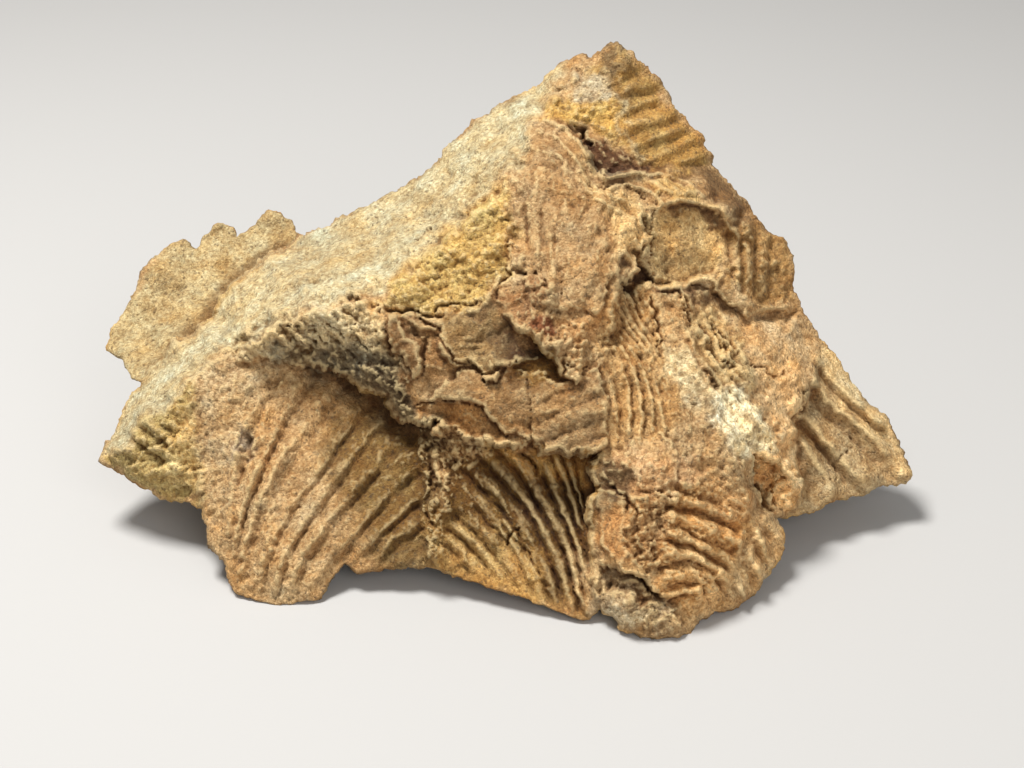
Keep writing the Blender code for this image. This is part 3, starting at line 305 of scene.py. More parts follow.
# Ribbed areas with their grooves as (depth, line). What lies between two grooves is a round rib.
GROOVES = [
    # the left facet
    ([(-25.6, -4.6), (-22, -0.6), (-20.2, 0), (-19.8, -4.4), (-21.6, -5.8)], [
        (0.5, [(-23.3, -2.7), (-21.5, -3.8)]),
        (0.6, [(-23.8, -3.5), (-21.8, -4.8)]),
        (0.45, [(-22.6, -2), (-21, -3.3)]),
    ]),
    # the second shell
    ([(-3.9, -4.2), (-1.8, -3.7), (5.2, -4.1), (5.3, -6.6), (5, -8), (5.3, -16.5), (-5.1, -13.6),
     (-4.9, -8.2)], [
        (0.77, [(-2.9, -5.6), (-1.4, -7.2), (-0.6, -8), (0.4, -9.4), (1.5, -11.4), (2.4, -13.6)]),
        (0.99, [(-2.1, -4.6), (0.7, -7.7), (1.3, -8.7), (2.5, -11.4), (3.4, -14.2)]),
        (0.99, [(-1, -4.2), (-0.3, -4.8), (0.5, -5.8), (2.7, -9.5), (3.4, -11), (4.3, -14.4)]),
        (0.95, [(0.6, -4.3), (1.1, -4.7), (1.7, -5.5), (2.1, -6.3), (2.6, -7.5), (3.5, -9.1), (3.9, -10.3),
            (4.5, -13.2)]),
        (0.9, [(2.4, -4.5), (3.2, -6.5), (4.8, -11.2)]),
        (0.85, [(3, -4.4), (4.2, -7.5), (4.5, -8.7)]),
        (0.75, [(3.7, -4.4), (4.7, -8.2)]),
        (0.54, [(-2.1, -7.9), (-1.5, -8.7), (-0.8, -9.3), (0.2, -10.8), (1.4, -13.4)]),
        (0.54, [(-3.5, -8.3), (-1.8, -9.9), (-0.6, -11.4), (0.4, -13.2)]),
        (0.66, [(-4, -9.1), (-2.5, -10.4), (-1.5, -11.6), (-0.8, -12.9)]),
        (0.6, [(-4.2, -10), (-3.5, -10.8), (-2.4, -12.4)]),
        (0.48, [(-0.6, -8.9), (0.5, -10), (1.4, -11.2), (2.2, -12.6)]),
    ]),
    # the nose
    ([(9, -6), (12.5, -6), (14.7, -7.2), (14.9, -9), (13.8, -14.6), (12.2, -16), (9, -15.4), (8.6, -11.6),
     (9.2, -9.6)], [
        (0.64, [(10.2, -6.5), (11.3, -6.9), (12.1, -7.1), (14.2, -7.9)]),
        (1.22, [(9.7, -7.7), (11.6, -8), (12.4, -8.3), (14, -9.2)]),
        (0.77, [(10.3, -8.8), (11.2, -9.4), (13.8, -10.6)]),
        (1.22, [(9.9, -9.9), (11.3, -10.2), (12, -10.6), (13.4, -11.5)]),
        (0.9, [(9.2, -11.6), (10.8, -11.1), (11.6, -11.2), (12.6, -11.9)]),
        (1.02, [(9.4, -12.9), (10.2, -12.6), (11, -12.5), (12, -12.6)]),
        (0.9, [(9.9, -13.6), (10.6, -13.3), (11.3, -13.2)]),
        (0.77, [(11.9, -12.7), (12.5, -14.1)]),
        (0.77, [(12.8, -12.2), (13.7, -13.6)]),
    ]),
    # the flake
    ([(1.2, -0.9), (3.2, 0.4), (6.3, 0.9), (6.5, -4), (2.4, -4.8), (1.2, -3.8)], [
        (0.3, [(1.7, -2.4), (4.6, -1.1), (5.6, -0.7)]),
        (0.34, [(2.2, -3.5), (4.1, -2.7), (5.8, -2.2)]),
        (0.24, [(1.6, -1.4), (3.1, -0.6), (4.4, -0.1)]),
        (0.24, [(3.4, -4.1), (4.8, -3.5), (6, -3.2)]),
    ]),
    # the side face
    ([(13, 10.1), (15, 10.8), (18, 8.8), (17.8, 4.8), (15.5, 5), (13.3, 5.7)], [
        (0.44, [(13.5, 9.4), (13.9, 6)]),
        (0.44, [(14.3, 9.4), (14.4, 7.6), (14.4, 5.6)]),
        (0.48, [(15.3, 9.4), (15.2, 5.4)]),
        (0.48, [(16.3, 9), (16.3, 7.2), (16.2, 5.5)]),
    ]),
]

# Ribbed areas with narrow crests: (height, area, lines). A crest drops sharply on the left of its way.
CRESTS = [
    # the wing
    (1.1, [(18.6, 2.6), (21.4, 3), (28, -5.6), (26, -9), (18.4, -10), (17, -6.2), (16.6, -4), (16.8, -1.6),
     (18.2, 0.3)], [
        [(22.9, -2.5), (21, -0.9), (20.3, -0.2), (19.6, 0.8), (18.9, 1.9)],
        [(26, -7.3), (21.9, -2.9), (20.3, -1.7), (19.6, -1), (18.6, 0.6)],
        [(22.8, -7.2), (21, -5.4), (18.6, -2.5), (17.8, -1.8), (17.2, -1.2)],
        [(19.9, -7.6), (19.6, -6.1), (18.4, -4.2), (17, -2.5)],
    ]),
    # the large shell
    (0.44, [(-18.4, 0.2), (-16.4, 1.8), (-12, 1.6), (-9.4, 0.6), (-4.6, -3.2), (-4.7, -12.2), (-10.4, -12),
     (-14, -14.6), (-18.2, -12.6)], [
        [(-15.3, 0.8), (-15.9, -0.9), (-16.8, -3.1), (-17.1, -4.1), (-17.3, -5.1), (-17.8, -10.4)],
        [(-12.2, 1.5), (-12.5, 1), (-13.5, -0.4), (-14.9, -3.3), (-16.2, -6.3), (-16.7, -7.6),
            (-17.2, -9.4), (-17.6, -11.6)],
        [(-10.9, 0.4), (-12.9, -2.7), (-13.9, -3.9), (-14.6, -4.9), (-15.1, -6.2), (-16, -7.8),
            (-16.5, -9.6), (-16.9, -11.8)],
        [(-8.6, -0.4), (-9.8, -1.8), (-10.4, -3), (-11.2, -4), (-11.8, -5.1), (-13.9, -7.7), (-14.8, -9.5),
            (-15.6, -11.6), (-15.9, -13)],
        [(-8.2, -2.2), (-9.3, -3.5), (-13.7, -9.7), (-14.3, -10.9), (-14.9, -13.2)],
        [(-5.6, -2.2), (-6.9, -2.9), (-7.8, -3.9), (-8.4, -4.9), (-11.3, -8.3), (-13, -10.6),
            (-13.5, -11.8), (-14, -13.4)],
        [(-4.6, -4.2), (-6.3, -5.4), (-7.4, -6.4), (-9.1, -8.4), (-9.9, -9.5), (-11.5, -11.1),
            (-12.4, -12.6)],
        [(-4.4, -6.4), (-6.3, -7.4), (-7.2, -8.3), (-8.2, -9.2), (-9.9, -11), (-10.6, -12)],
        [(-4.4, -7.9), (-7.4, -9.6), (-8.1, -10.5), (-9, -12.2)],
        [(-4.4, -9.7), (-6.2, -10.8), (-6.9, -11.4), (-7.4, -12.2)],
    ]),
    # the ribbed fold
    (0.42, [(5, 1.4), (6.6, 3.2), (8.2, 3.2), (10.6, -0.6), (10.2, -4.2), (5.8, -4.2)], [
        [(4.6, 3.4), (6.3, -0.6), (6.5, -1.8), (6.5, -3.7), (6.3, -5)],
        [(5.6, 4.2), (6.3, 3), (7.3, -0.3), (7.4, -1.8), (7.3, -3.7), (7.1, -5)],
        [(6.2, 4), (7.7, 0.6), (8, -0.6), (8.1, -2.1), (8, -5)],
        [(6.6, 4.2), (8.2, 0.9), (8.6, -0.6), (8.8, -2.1), (8.8, -5)],
        [(7.1, 4), (8.8, 0.6), (9.2, -0.7), (9.6, -3.7), (9.6, -5)],
        [(7.6, 3.2), (8.3, 1.5), (9.4, 0), (9.9, -0.9), (10.4, -3.6)],
    ]),
    # the nose's side
    (0.9, [(14, -8.4), (17.4, -7.6), (19, -10), (17.4, -14), (14, -16.4), (12.8, -13), (13.8, -11.4)], [
        [(17.6, -10.9), (16.5, -9.6), (15.8, -8.6)],
        [(16.7, -12.6), (16.1, -11.4), (15, -8.8)],
        [(16.1, -13.3), (14.7, -10.7)],
        [(14.9, -14.2), (13.8, -12)],
        [(14, -15), (13.2, -12.7)],
    ]),
    # the small plate
    (0.3, [(-4.4, 3.7), (-2.4, 3.6), (-1.2, 3), (-0.7, 1.6), (-2, 1.2), (-3.6, 1.2), (-4.3, 2)], [
        [(-2, 3.5), (-3.2, 3.6), (-4.4, 3.5)],
        [(-2, 3.1), (-3.2, 3.2), (-4.3, 3.1)],
        [(-1.6, 2.8), (-3, 2.8), (-4.3, 2.6)],
        [(-1, 2.5), (-4.2, 2.2)],
        [(-0.8, 2.1), (-2.4, 2), (-3.9, 1.9)],
        [(-0.6, 1.7), (-3.6, 1.5)],
    ]),
]

# Single ridges and troughs: (height, half width, line).
RIDGES = [
    (-0.55, 1.1, [(-12.8, 0.5), (-10, -0.4), (-9.2, -1.2), (-8.2, -1.8), (-6.4, -3.3)]),
    (-0.2, 0.8, [(-4, -4.8), (-3, -4.4), (-1.6, -4.4), (0.6, -4.6), (4.6, -5.2)]),
    (0.45, 0.75, [(-7.4, -0.9), (-6.4, -2), (-5.2, -2.6), (-4, -2.9), (-3, -3.4)]),
    (0.45, 0.16, [(2.1, 16.5), (3.4, 15.9), (4.3, 14.8), (4.9, 13.5), (5.8, 12.6)]),
    (0.42, 0.2, [(5.7, 12.7), (6.8, 13), (7.8, 13.1), (9.2, 13.1), (10.3, 12.9), (11.2, 12.4),
        (11.9, 11.8)]),
    (0.42, 0.18, [(6.1, 12.2), (7.1, 12.4), (8.1, 12.2), (8.8, 11.8), (9.4, 11.3)]),
    (0.4, 0.25, [(16, -4.4), (17.1, -5.5), (18.3, -6.2), (18.3, -7), (18, -7.5)]),
    (0.3, 0.25, [(5.4, -8.6), (5.8, -10), (6.3, -11), (7, -11.7)]),
    (0.3, 0.2, [(17.9, -2.2), (18.3, -1), (18.9, 0.3)]),
    (0.3, 0.18, [(1.6, 15.9), (2.9, 15.3), (3.9, 14), (4.6, 12.8), (5.6, 11.8), (7, 11.4)]),
    (0.26, 0.16, [(1.2, 14.6), (2.8, 14.3), (5, 11.6), (6.6, 10.6)]),
    (-0.22, 0.22, [(0.9, 10.4), (1, 8.6), (0.8, 6.8)]),
    (-0.2, 0.22, [(1.8, 10.8), (1.9, 9), (1.8, 7)]),
    (-0.2, 0.2, [(2.7, 9.6), (2.6, 7.8)]),
]

# Cracks: (depth, half width, line).
CRACKS = [
    (0.9, 0.27, [(-8.2, 4.6), (-6, 4.5), (-4.4, 4.3)]),
    (0.6, 0.27, [(12, 3.4), (13.2, 1.2)]),
    (0.6, 0.24, [(13.2, 3), (14.3, 1.2)]),
    (0.6, 0.24, [(8.7, 5), (9.3, 3), (9.4, 1.8)]),
    (0.6, 0.24, [(15.2, -4.4), (15.2, -6), (15.5, -7), (16, -7.9)]),
    (0.9, 0.3, [(0.5, -4.1), (1.1, -4.7), (1.8, -5.6)]),
    (0.35, 0.27, [(7.4, -7.4), (7.9, -9), (7.7, -11)]),
    (0.7, 0.18, [(-6.3, 4.3), (-5.3, 3.7), (-4.5, 3.5), (-4.5, 2.4), (-3.6, 1.2), (-2.6, 1.3),
        (-1.9, 0.9)]),
    (0.6, 0.16, [(-2.1, 1), (-1.8, 0.3), (-1.4, 0), (-0.8, 0.7), (0.3, 1.4)]),
    (0.5, 0.16, [(-7.9, 3.4), (-7.5, 2.2), (-6.3, 0.3)]),
    (0.5, 0.16, [(-6.2, 3.4), (-5.3, 2), (-5.6, 0.6), (-6.2, 0.2)]),
    (0.5, 0.16, [(-5.9, -1.4), (-5, -0.8), (-3.4, -0.7), (-0.9, -2.4), (-0.2, -3.2)]),
    (0.35, 0.22, [(0.7, 0.6), (1.1, -0.2), (1, -1.5), (1.2, -2.5), (1, -3.5)]),
    (0.5, 0.15, [(3, 0.4), (3.2, 1.6), (4.4, 0.9), (5.2, 1.7)]),
    (0.4, 0.16, [(5.8, 12.4), (6.8, 12.6), (8, 12), (8.8, 11.4)]),
    (1, 0.25, [(8.5, 10.6), (8.4, 9.3)]),
    (1, 0.25, [(8.1, 8.4), (8, 7.9), (8.1, 7.3)]),
    (0.7, 0.2, [(9.2, 5.7), (10.3, 5.7), (10.9, 5.3), (11.2, 4.4)]),
    (0.6, 0.18, [(11.4, 6.2), (12.3, 6), (12.9, 5.5)]),
    (1.2, 0.22, [(4, 16.3), (4.4, 15.6), (4.9, 14.9)]),
    (0.25, 0.22, [(3.2, 7.9), (3.1, 6.3), (3.4, 5.3)]),
    (0.5, 0.26, [(0, 9.5), (-0.6, 6.3), (-0.7, 5)]),
    (0.5, 0.16, [(-0.1, 7.1), (0.9, 6.7), (1.7, 6.6), (2.2, 5.9)]),
    (0.9, 0.2, [(12.7, 3.5), (13.1, 2.4), (13.8, 1.5)]),
    (0.8, 0.18, [(12, 2.8), (12.9, 1.7), (13.6, 1.2)]),
    (0.7, 0.16, [(11.9, 0.9), (12.7, 0.3), (12.9, -0.1)]),
    (0.7, 0.16, [(10.6, 5.4), (11.3, 3.4)]),
    (0.6, 0.16, [(8.7, 3.7), (9, 2.8), (9.2, 1.8)]),
    (0.5, 0.16, [(12.9, 5.7), (14.9, 4)]),
    (0.5, 0.14, [(14.7, 1), (15.8, 0.8), (16.5, 0.3), (17.2, 0.5)]),
    (0.6, 0.16, [(18.8, 0.1), (18.2, -1.1), (18.2, -1.8), (17.8, -2.1)]),
    (0.35, 0.14, [(21.1, -3.2), (20.9, -3.9), (20.2, -5), (20.1, -5.4), (19.7, -5.9)]),
    (1.2, 0.22, [(15.3, -4.5), (15.2, -5.5), (15.3, -6.2), (16, -7.8)]),
    (0.8, 0.18, [(16.4, -5.2), (17, -5.7), (16.6, -6.2), (16.3, -6.8), (16.6, -7.6)]),
    (0.6, 0.14, [(8.8, 11), (8.6, 8), (8.7, 6.4)]),
    (0.9, 0.26, [(7.1, -11.9), (9.2, -13.3), (9.6, -13.9)]),
    (0.8, 0.25, [(6.6, -6.4), (7.3, -7), (7.2, -7.8)]),
    (0.6, 0.14, [(-0.3, -9.9), (0.5, -9)]),
    (0.6, 0.18, [(-8.8, 4.9), (-7.3, 4.6), (-6.4, 4.6), (-5.6, 4.4), (-4.4, 4.9), (-3, 4.9), (-1.8, 5.3)]),
    (0.5, 0.14, [(-6.6, 8.6), (-6, 8.9), (-5.2, 9.9)]),
    (0.5, 0.14, [(-2.8, 10.6), (-2.2, 11.2), (-1.6, 11.6)]),
    (0.5, 0.16, [(-13.4, 3.9), (-11.6, 2.6), (-10.4, 2.4)]),
    (0.6, 0.2, [(-11.4, 3.6), (-10.4, 3), (-9.4, 2.9), (-8.6, 2)]),
]

# Fine parallel lines: (height, pitch in mm, direction in degrees, area).
STRIAE = [
    (0.34, 0.4, -62, [(6.7, 6.2), (8.2, 6.4), (8.8, 4.5), (9.2, 2.4), (8.4, 1.6), (6.2, 1.6), (5.4, 2.2)]),
    (0.07, 0.5, 55, [(13, 4.8), (18, 3.8), (18.6, 1), (17.5, -2), (15.6, -0.5), (13.5, 3)]),
    (0.22, 0.62, -45, [(7.2, 13), (8.2, 13.3), (10.5, 13), (12.1, 11.8), (10, 11.3), (9, 11.6)]),
    (0.07, 0.45, -35, [(1.4, 16), (3.4, 15.4), (5.4, 12.6), (7.4, 11.2), (6, 10.4), (1, 12.4)]),
    (0.3, 0.62, -57, [(10.3, 3), (11.4, 5.8), (13.4, 4.8), (14.8, 0.6), (14.4, -1.6), (12.2, -1)]),
    (0.08, 0.5, 80, [(5.2, -6.8), (7.3, -7), (7.5, -11.2), (5.6, -10.6)]),
]

# Where the stone is smoother than the rest: (how much, area).
CALM = [
    (0.7, [(5.4, 13.2), (8.4, 13.4), (12.4, 13.2), (12.6, 11), (9, 10.9), (6.6, 10.4), (4.6, 12.4)]),
    (0.85, [(18.6, 2.6), (20.6, 2.4), (26.4, -5.6), (24.8, -7.4), (18.4, -8.6), (17.4, -6.2), (17.4, -2.6),
        (18.6, 0.3)]),
    (0.8, [(6.9, 21.8), (9.8, 19.8), (13.4, 13.4), (17.6, 9.2), (8.6, 13.4), (6.9, 15.2)]),
    (0.5, [(-26, -5), (-18.2, 2), (-14.4, 4.4), (-9.5, 6), (-3.5, 10.4), (0.3, 14), (3.6, 20), (2, 22),
        (-14, 13), (-20, 12), (-27, 4)]),
    (0.4, AREAS["plate"]),
    (0.25, [(0.3, 7), (1.4, 16.2), (4.2, 14.4), (7.6, 10.6), (7.4, 7.6), (5.4, 5)]),
    (0.6, [(-4.3, -6.9), (-2.8, -4.3), (5.2, -4.3), (5.4, -15), (-5.2, -12.4)]),
    (0.4, [(-14.4, 1.2), (-7.5, -0.8), (-5.2, -3.4), (-5.1, -12.4), (-12, -12.4), (-13.6, -6)]),
    (0.6, [(13, 5.2), (18.6, 4.2), (21, 1.6), (18.4, 0.6), (17.2, -3), (15.6, -1)]),
    (0.5, AREAS["centre flake"]),
    (0.6, [(6.8, -5.2), (7.6, -3.2), (9.4, -2.8), (10.8, -4.2), (10.4, -6.4), (7.4, -6.9), (7.2, -10.8),
        (5.4, -10.8), (5, -7)]),
]

# The stone's colours in 0 to 255, one over another: (colour, softness of the edge in mm, strength, area).
# Some of them are painted shade in hollows and under ledges, and some are painted light where shadow falls.
GROUND = (182, 147, 103)
PATCHES = [
    ((184, 168, 132), 0.5, 1, [(-26, -5), (-24.2, -4), (-18.2, 2), (-12, 5), (-9.5, 5.5), (-6.5, 7.2),
        (0.3, 13.5), (1.3, 16.6), (3.6, 20), (2, 21), (-14, 12), (-25, 4)]),
    ((180, 158, 116), 0.4, 1, [(-23.1, 0.3), (-20.9, 2.4), (-18.3, 4), (-17.3, 6), (-15.3, 8), (-13.4, 9.1),
        (-13.5, 11.5), (-20, 11), (-26, 3), (-25, 0)]),
    ((188, 156, 94), 0.6, 1, [(-6.5, 7.2), (-1.5, 11.8), (-0.3, 12), (0, 9), (-0.4, 6.8), (-2.6, 4.6),
        (-6.5, 4.5), (-8.6, 5)]),
    ((174, 148, 94), 0.3, 1, [(-25.6, -4.8), (-24.2, -4), (-22, -1.6), (-20, -0.2), (-19, -7.5),
        (-21.5, -7.4), (-24, -5.6)]),
    ((202, 180, 140), 0.3, 1, [(-17.4, 2.6), (-15.8, 3.1), (-14.4, 3.8), (-12.7, 4.2), (-12, 4.8),
        (-9.5, 5), (-8, 4), (-7.5, 2), (-6.5, 0.2), (-6.3, -1.8), (-7.6, -1.2), (-9.6, 0.2), (-11.2, 0.9),
        (-13, 1.3), (-17.2, 1.6)]),
    ((96, 80, 58), 0.6, 0.9, [(-14.6, 2.4), (-8.6, 2.2), (-6.4, -0.4), (-6.2, -1.9), (-7.6, -1.6),
        (-11.2, 0.6), (-14.8, 1.4)]),
    ((88, 72, 50), 0.4, 0.9, [(-8.9, 3.4), (-8.2, 3.5), (-6.8, 0.4), (-5, -1.9), (-4.2, -2.6), (-5.2, -3.2),
        (-6.8, -2.4), (-8, -0.4)]),
    ((176, 142, 98), 0.3, 1, [(-5.4, -2.6), (-2.2, -3.2), (1.7, -3.6), (1.7, -4.2), (-2, -4.4),
        (-3.2, -5.6), (-4.2, -7.2), (-4.6, -9), (-4.7, -11.8), (-5.3, -11.8), (-5.1, -6.2)]),
    # The large shell's right half: browner stone, darkened further as painted shade from the overhang.
    ((116, 86, 44), 1.6, 1, [(-9.4, -0.8), (-5.2, -3.4), (-5.1, -11.8), (-8.6, -11.8), (-12, -4.6),
        (-11.6, -2.6)]),
    ((92, 64, 22), 0.8, 0.9, [(-7.6, -3), (-5, -3.2), (-4.6, -6.5), (-4.9, -10.8), (-5.8, -10.8),
        (-6.4, -7)]),
    ((102, 70, 26), 0.3, 1, [(-4.3, -6.9), (-2.8, -4.3), (5.2, -4.3), (5, -7), (5.2, -14.5), (-5, -11.8),
        (-4.9, -8)]),
    ((190, 150, 90), 1.2, 0.8, [(-4.9, -8.6), (-2.5, -8.6), (4.4, -12.5), (4.8, -14.8), (-5, -12)]),
    # Painted light: the top of the second shell made paler where the overhang's shadow falls on it.
    ((214, 164, 92), 0.7, 0.9, [(-1.6, -4), (5.2, -4.1), (5, -6.8), (1.6, -5.4), (-1, -5)]),
    ((80, 52, 12), 0.8, 0.9, [(0, -6.6), (3.4, -7.2), (4, -9.2), (1.8, -9.6), (-0.4, -8.4)]),
    ((102, 70, 30), 0.7, 0.9, [(2, -10.4), (5, -10.4), (5.2, -15), (3.4, -14.2), (1.6, -12.4)]),
    ((146, 112, 74), 0.3, 1, [(-8.1, 3.4), (-7, 4.3), (-4.5, 4), (-2, 4.8), (-0.4, 6), (0.4, 4), (4, 0.5),
        (5.5, 1), (6, -2.6), (5.9, -4), (2.3, -4.3), (0, -3.4), (-2.5, -3.6), (-5.8, -1.8), (-6.6, -1),
        (-6.4, 0.3)]),
    # Painted light: paler where the curled flake shades the lip.
    ((214, 174, 124), 0.4, 0.9, [(-6.4, 0.4), (-5.4, 1), (-4.6, 0), (-5, -1), (-6.2, -0.8)]),
    ((152, 119, 79), 0.5, 0.9, [(-5.6, 1.6), (-4.4, 1.8), (-3.2, 0.8), (-1.6, 0.6), (1.6, -0.6),
        (5.4, -0.2), (5.9, -3.2), (2.4, -3.6), (0.2, -2.6), (-2.6, -0.6), (-4.8, -0.6), (-6, 0.2)]),
    ((132, 98, 58), 0.5, 0.7, [(0.2, 0.3), (2.4, 0.5), (4, 0.2), (3.6, -0.8), (1.2, -1)]),
    ((112, 86, 54), 0.4, 0.7, [(-2.6, 4.9), (-0.6, 5.4), (-0.3, 4.4), (-1.4, 3.9), (-2.6, 4.2)]),
    ((120, 86, 50), 0.25, 1, [(-8, 3.3), (-7.8, 4.1), (-7, 4.1), (-5.5, 1.8), (-5.9, 0.5), (-6.5, 0.1)]),
    ((146, 118, 78), 0.25, 1, [(-4.4, 4.3), (-4.4, 2.5), (-3.5, 1.2), (-2, 1), (0, 1.4), (0.1, 2.9),
        (-0.9, 4), (-1.5, 4.4)]),
    ((112, 88, 58), 0.3, 0.9, [(-1.4, 3.8), (-0.4, 3.4), (0.2, 2.6), (0.2, 1.8), (-0.6, 1.4), (-1.5, 1.8),
        (-1.6, 2.8)]),
    # Browner stone, darkened further as painted shade under the brow.
    ((130, 95, 44), 0.3, 0.9, [(0.2, 2.6), (1.6, 2.6), (2.6, 1.4), (2.8, 0.4), (1.2, -0.1), (0.2, 0.8)]),
    # Painted shadow: the hollow under the brow.
    ((76, 51, 26), 0.3, 1, [(-0.4, 3.8), (0.5, 2.9), (1.3, 2.8), (2.6, 1.8), (0.4, 1.2), (-0.5, 1.6),
        (-0.2, 2.6)]),
    ((166, 124, 76), 0.25, 1, [(-5.9, -1.5), (-5, -0.9), (-3, -0.9), (-0.3, -3), (-1, -3.7), (-3.3, -3.1),
        (-4.9, -2.5)]),
    ((172, 138, 96), 0.5, 1, [(1.5, 16.4), (3, 15.9), (4.4, 14.6), (5, 13), (6, 12.4), (7.8, 12),
        (8.7, 11.3), (7.5, 7), (4, 0.2), (2.8, 1.7), (0.3, 3.3), (-0.1, 6.8), (0, 12)]),
    ((176, 132, 84), 0.5, 0.9, [(2.8, 4.4), (6.2, 5.4), (5.9, 3.8), (5, 2.4), (4, 1.4), (3.2, 2.6)]),
    ((204, 170, 118), 0.5, 0.9, [(3.6, 15), (5, 12.8), (7.6, 11.8), (8.6, 10.9), (7.9, 8.6), (7, 7.6),
        (6.8, 9.6), (5.2, 11.4)]),
    ((138, 96, 58), 0.4, 0.8, [(-0.4, 4.9), (0.6, 6.6), (2, 6.2), (1.6, 4.6), (0.6, 3.9)]),
    ((134, 84, 48), 0.3, 0.7, [(1.3, 3.2), (1.5, 4.1), (2.4, 4.2), (2.7, 3.4), (2, 2.9)]),
    ((172, 136, 78), 0.4, 1, [(2, 17), (6.6, 21.4), (12.6, 14), (12, 13.2), (8.4, 13.3), (6.6, 14.9),
        (4.2, 16.4)]),
    ((196, 160, 92), 0.4, 0.9, [(2, 16.6), (2.2, 17.5), (5.5, 17.6), (7, 16.6), (6.6, 16.2)]),
    ((184, 166, 136), 0.3, 0.95, [(3.2, 17.9), (3.6, 19), (5, 19.5), (6.4, 19), (6.7, 17.9), (5.6, 17.6)]),
    ((108, 88, 62), 0.4, 0.9, [(5.4, 19.4), (6, 21.2), (6.9, 21), (7.3, 19.9), (6.6, 19.1)]),
    ((122, 92, 54), 0.4, 0.7, [(6.3, 18.9), (7.5, 18.8), (7.5, 17.3), (6.5, 17)]),
    ((178, 160, 124), 0.15, 0.8, [(6.5, 17.8), (7, 17.8), (7.6, 15.2), (8, 14.2), (7.5, 14)]),
    # Painted shade: the recess at the foot of the ledge below the peak.
    ((100, 66, 38), 0.35, 1, [(4, 16), (4.6, 15.4), (5.5, 15.2), (7.5, 13.9), (10, 13.3), (5.4, 13.1),
        (4.5, 14.4)]),
    ((190, 154, 98), 0.3, 1, [(8.2, 13), (10.5, 12.9), (12, 11.6), (12.3, 11.1), (9, 11.5)]),
    # A narrow brown face, darkened further as painted shade.
    ((118, 86, 50), 0.3, 0.9, [(10.6, 13.4), (12.4, 13.9), (15.7, 9.7), (14.6, 9.8)]),
    ((202, 166, 112), 0.25, 1, [(8.8, 10.6), (9.3, 11), (10.1, 11.1), (12.8, 10.3), (13.3, 9.9),
        (13.2, 7.9), (12.8, 6.8), (9.1, 6), (8.7, 7.2), (8.6, 8.9)]),
    ((150, 120, 78), 0.6, 0.55, [(9.2, 8.2), (10.6, 9.4), (11.4, 8.6), (10.2, 7), (9.2, 6.8)]),
    ((188, 166, 120), 0.2, 0.8, [(8.3, 10.8), (8.7, 10.8), (8.6, 9), (8.4, 7.6), (8.1, 7.6)]),
    # Painted shadow: the band along the plate's top edge, under the ledge above it.
    ((114, 82, 51), 0.2, 0.9, [(9.4, 11.1), (11, 11.2), (12.4, 10.9), (13.4, 10.3), (13.3, 9.8),
        (11.2, 10.6), (10, 10.7)]),
    # Painted shadow: the line under the ledge below the plate and the ribbed face.
    ((96, 66, 40), 0.3, 0.8, [(8.5, 6), (11.6, 6.2), (13, 5.5), (14.7, 4.1), (16.2, 4.7), (17, 4.3),
        (15, 3.5), (12.8, 4.9), (11.2, 5.4), (8.8, 5.3)]),
    ((156, 118, 70), 0.4, 1, [(13.5, 9.8), (15, 10.4), (17.8, 8.6), (17.6, 5), (15.5, 5.3), (13.4, 6)]),
    # Painted shade: the dark hole of the arch.
    ((86, 58, 32), 0.3, 0.95, AREAS["arch"]),
    ((226, 190, 136), 0.5, 0.8, [(5.8, 2.4), (6.6, 4.4), (6.9, 5.9), (8.4, 5.8), (7.6, 4.6), (7, 2.8)]),
    # Painted light: paler where the cheek ledge shades the face.
    ((226, 190, 136), 0.4, 0.8, [(6.6, 7.4), (7.2, 10.2), (8.3, 10.4), (8.1, 8.2), (7.6, 7.6)]),
    ((180, 140, 90), 0.5, 1, [(6.7, 5.6), (8.5, 5.6), (9, 4.5), (10.5, -1.5), (9.5, -3.5), (6.2, -3.5),
        (6, -1), (5.5, 1.2), (5.6, 3.5)]),
    ((254, 238, 198), 0.5, 1, [(12.9, -0.2), (14.8, -0.8), (16.3, -2.6), (16.7, -4.2), (15.4, -4.7),
        (14.1, -4.1), (12.8, -2.5), (12.2, -1.2)]),
    ((238, 216, 170), 0.5, 0.8, [(9.9, 2), (10.7, 1.9), (12.5, -0.6), (11.8, -1.3), (10.6, -0.2)]),
    ((198, 168, 118), 0.4, 0.8, [(11, 2.6), (11.8, 4.9), (13, 4.3), (15.6, -0.4), (13, 0.2)]),
    ((142, 116, 78), 0.15, 0.8, [(11.9, 1.3), (12.2, 1.4), (13.8, -1.1), (13.4, -1.2)]),
    ((130, 106, 72), 0.15, 0.8, [(12.6, -1.4), (12.9, -1.3), (14.4, -3.4), (13.9, -3.3)]),
    ((150, 122, 84), 0.15, 0.7, [(10.9, 0.6), (11.2, 0.7), (12, -0.5), (12.6, -1.9), (12.2, -1.8)]),
    ((156, 128, 88), 0.15, 0.7, [(14.2, -1.6), (14.5, -1.5), (15.2, -2.7), (15.6, -3.8), (15.2, -3.7)]),
    ((196, 162, 118), 0.6, 1, [(13.8, 4.6), (18, 4.2), (19, 1.4), (18.4, -0.6), (17, -2.6)]),
    ((178, 148, 106), 0.3, 1, AREAS["wing"]),
    ((212, 182, 134), 0.3, 1, [(19, 2.2), (20.6, 2.2), (25.6, -5.4), (24.4, -5.6), (20.2, -0.8)]),
    # The nest's orange stone, made paler as painted light against the shadow in the nest.
    ((232, 186, 128), 0.25, 1, [(15, -4), (17.8, -5), (18, -6.8), (16.9, -7.6), (15.5, -6.6)]),
    ((194, 154, 110), 0.4, 1, [(6.5, -4.3), (12, -4.8), (11.8, -6), (9.5, -6.9), (7, -6.6)]),
    # Partly brown stone, partly painted shadow beside the overhang's right end.
    ((88, 62, 34), 0.5, 0.9, [(4.8, -4.3), (6.6, -4.9), (7.6, -6), (7.6, -7.9), (6.2, -7.9), (4.8, -7.4)]),
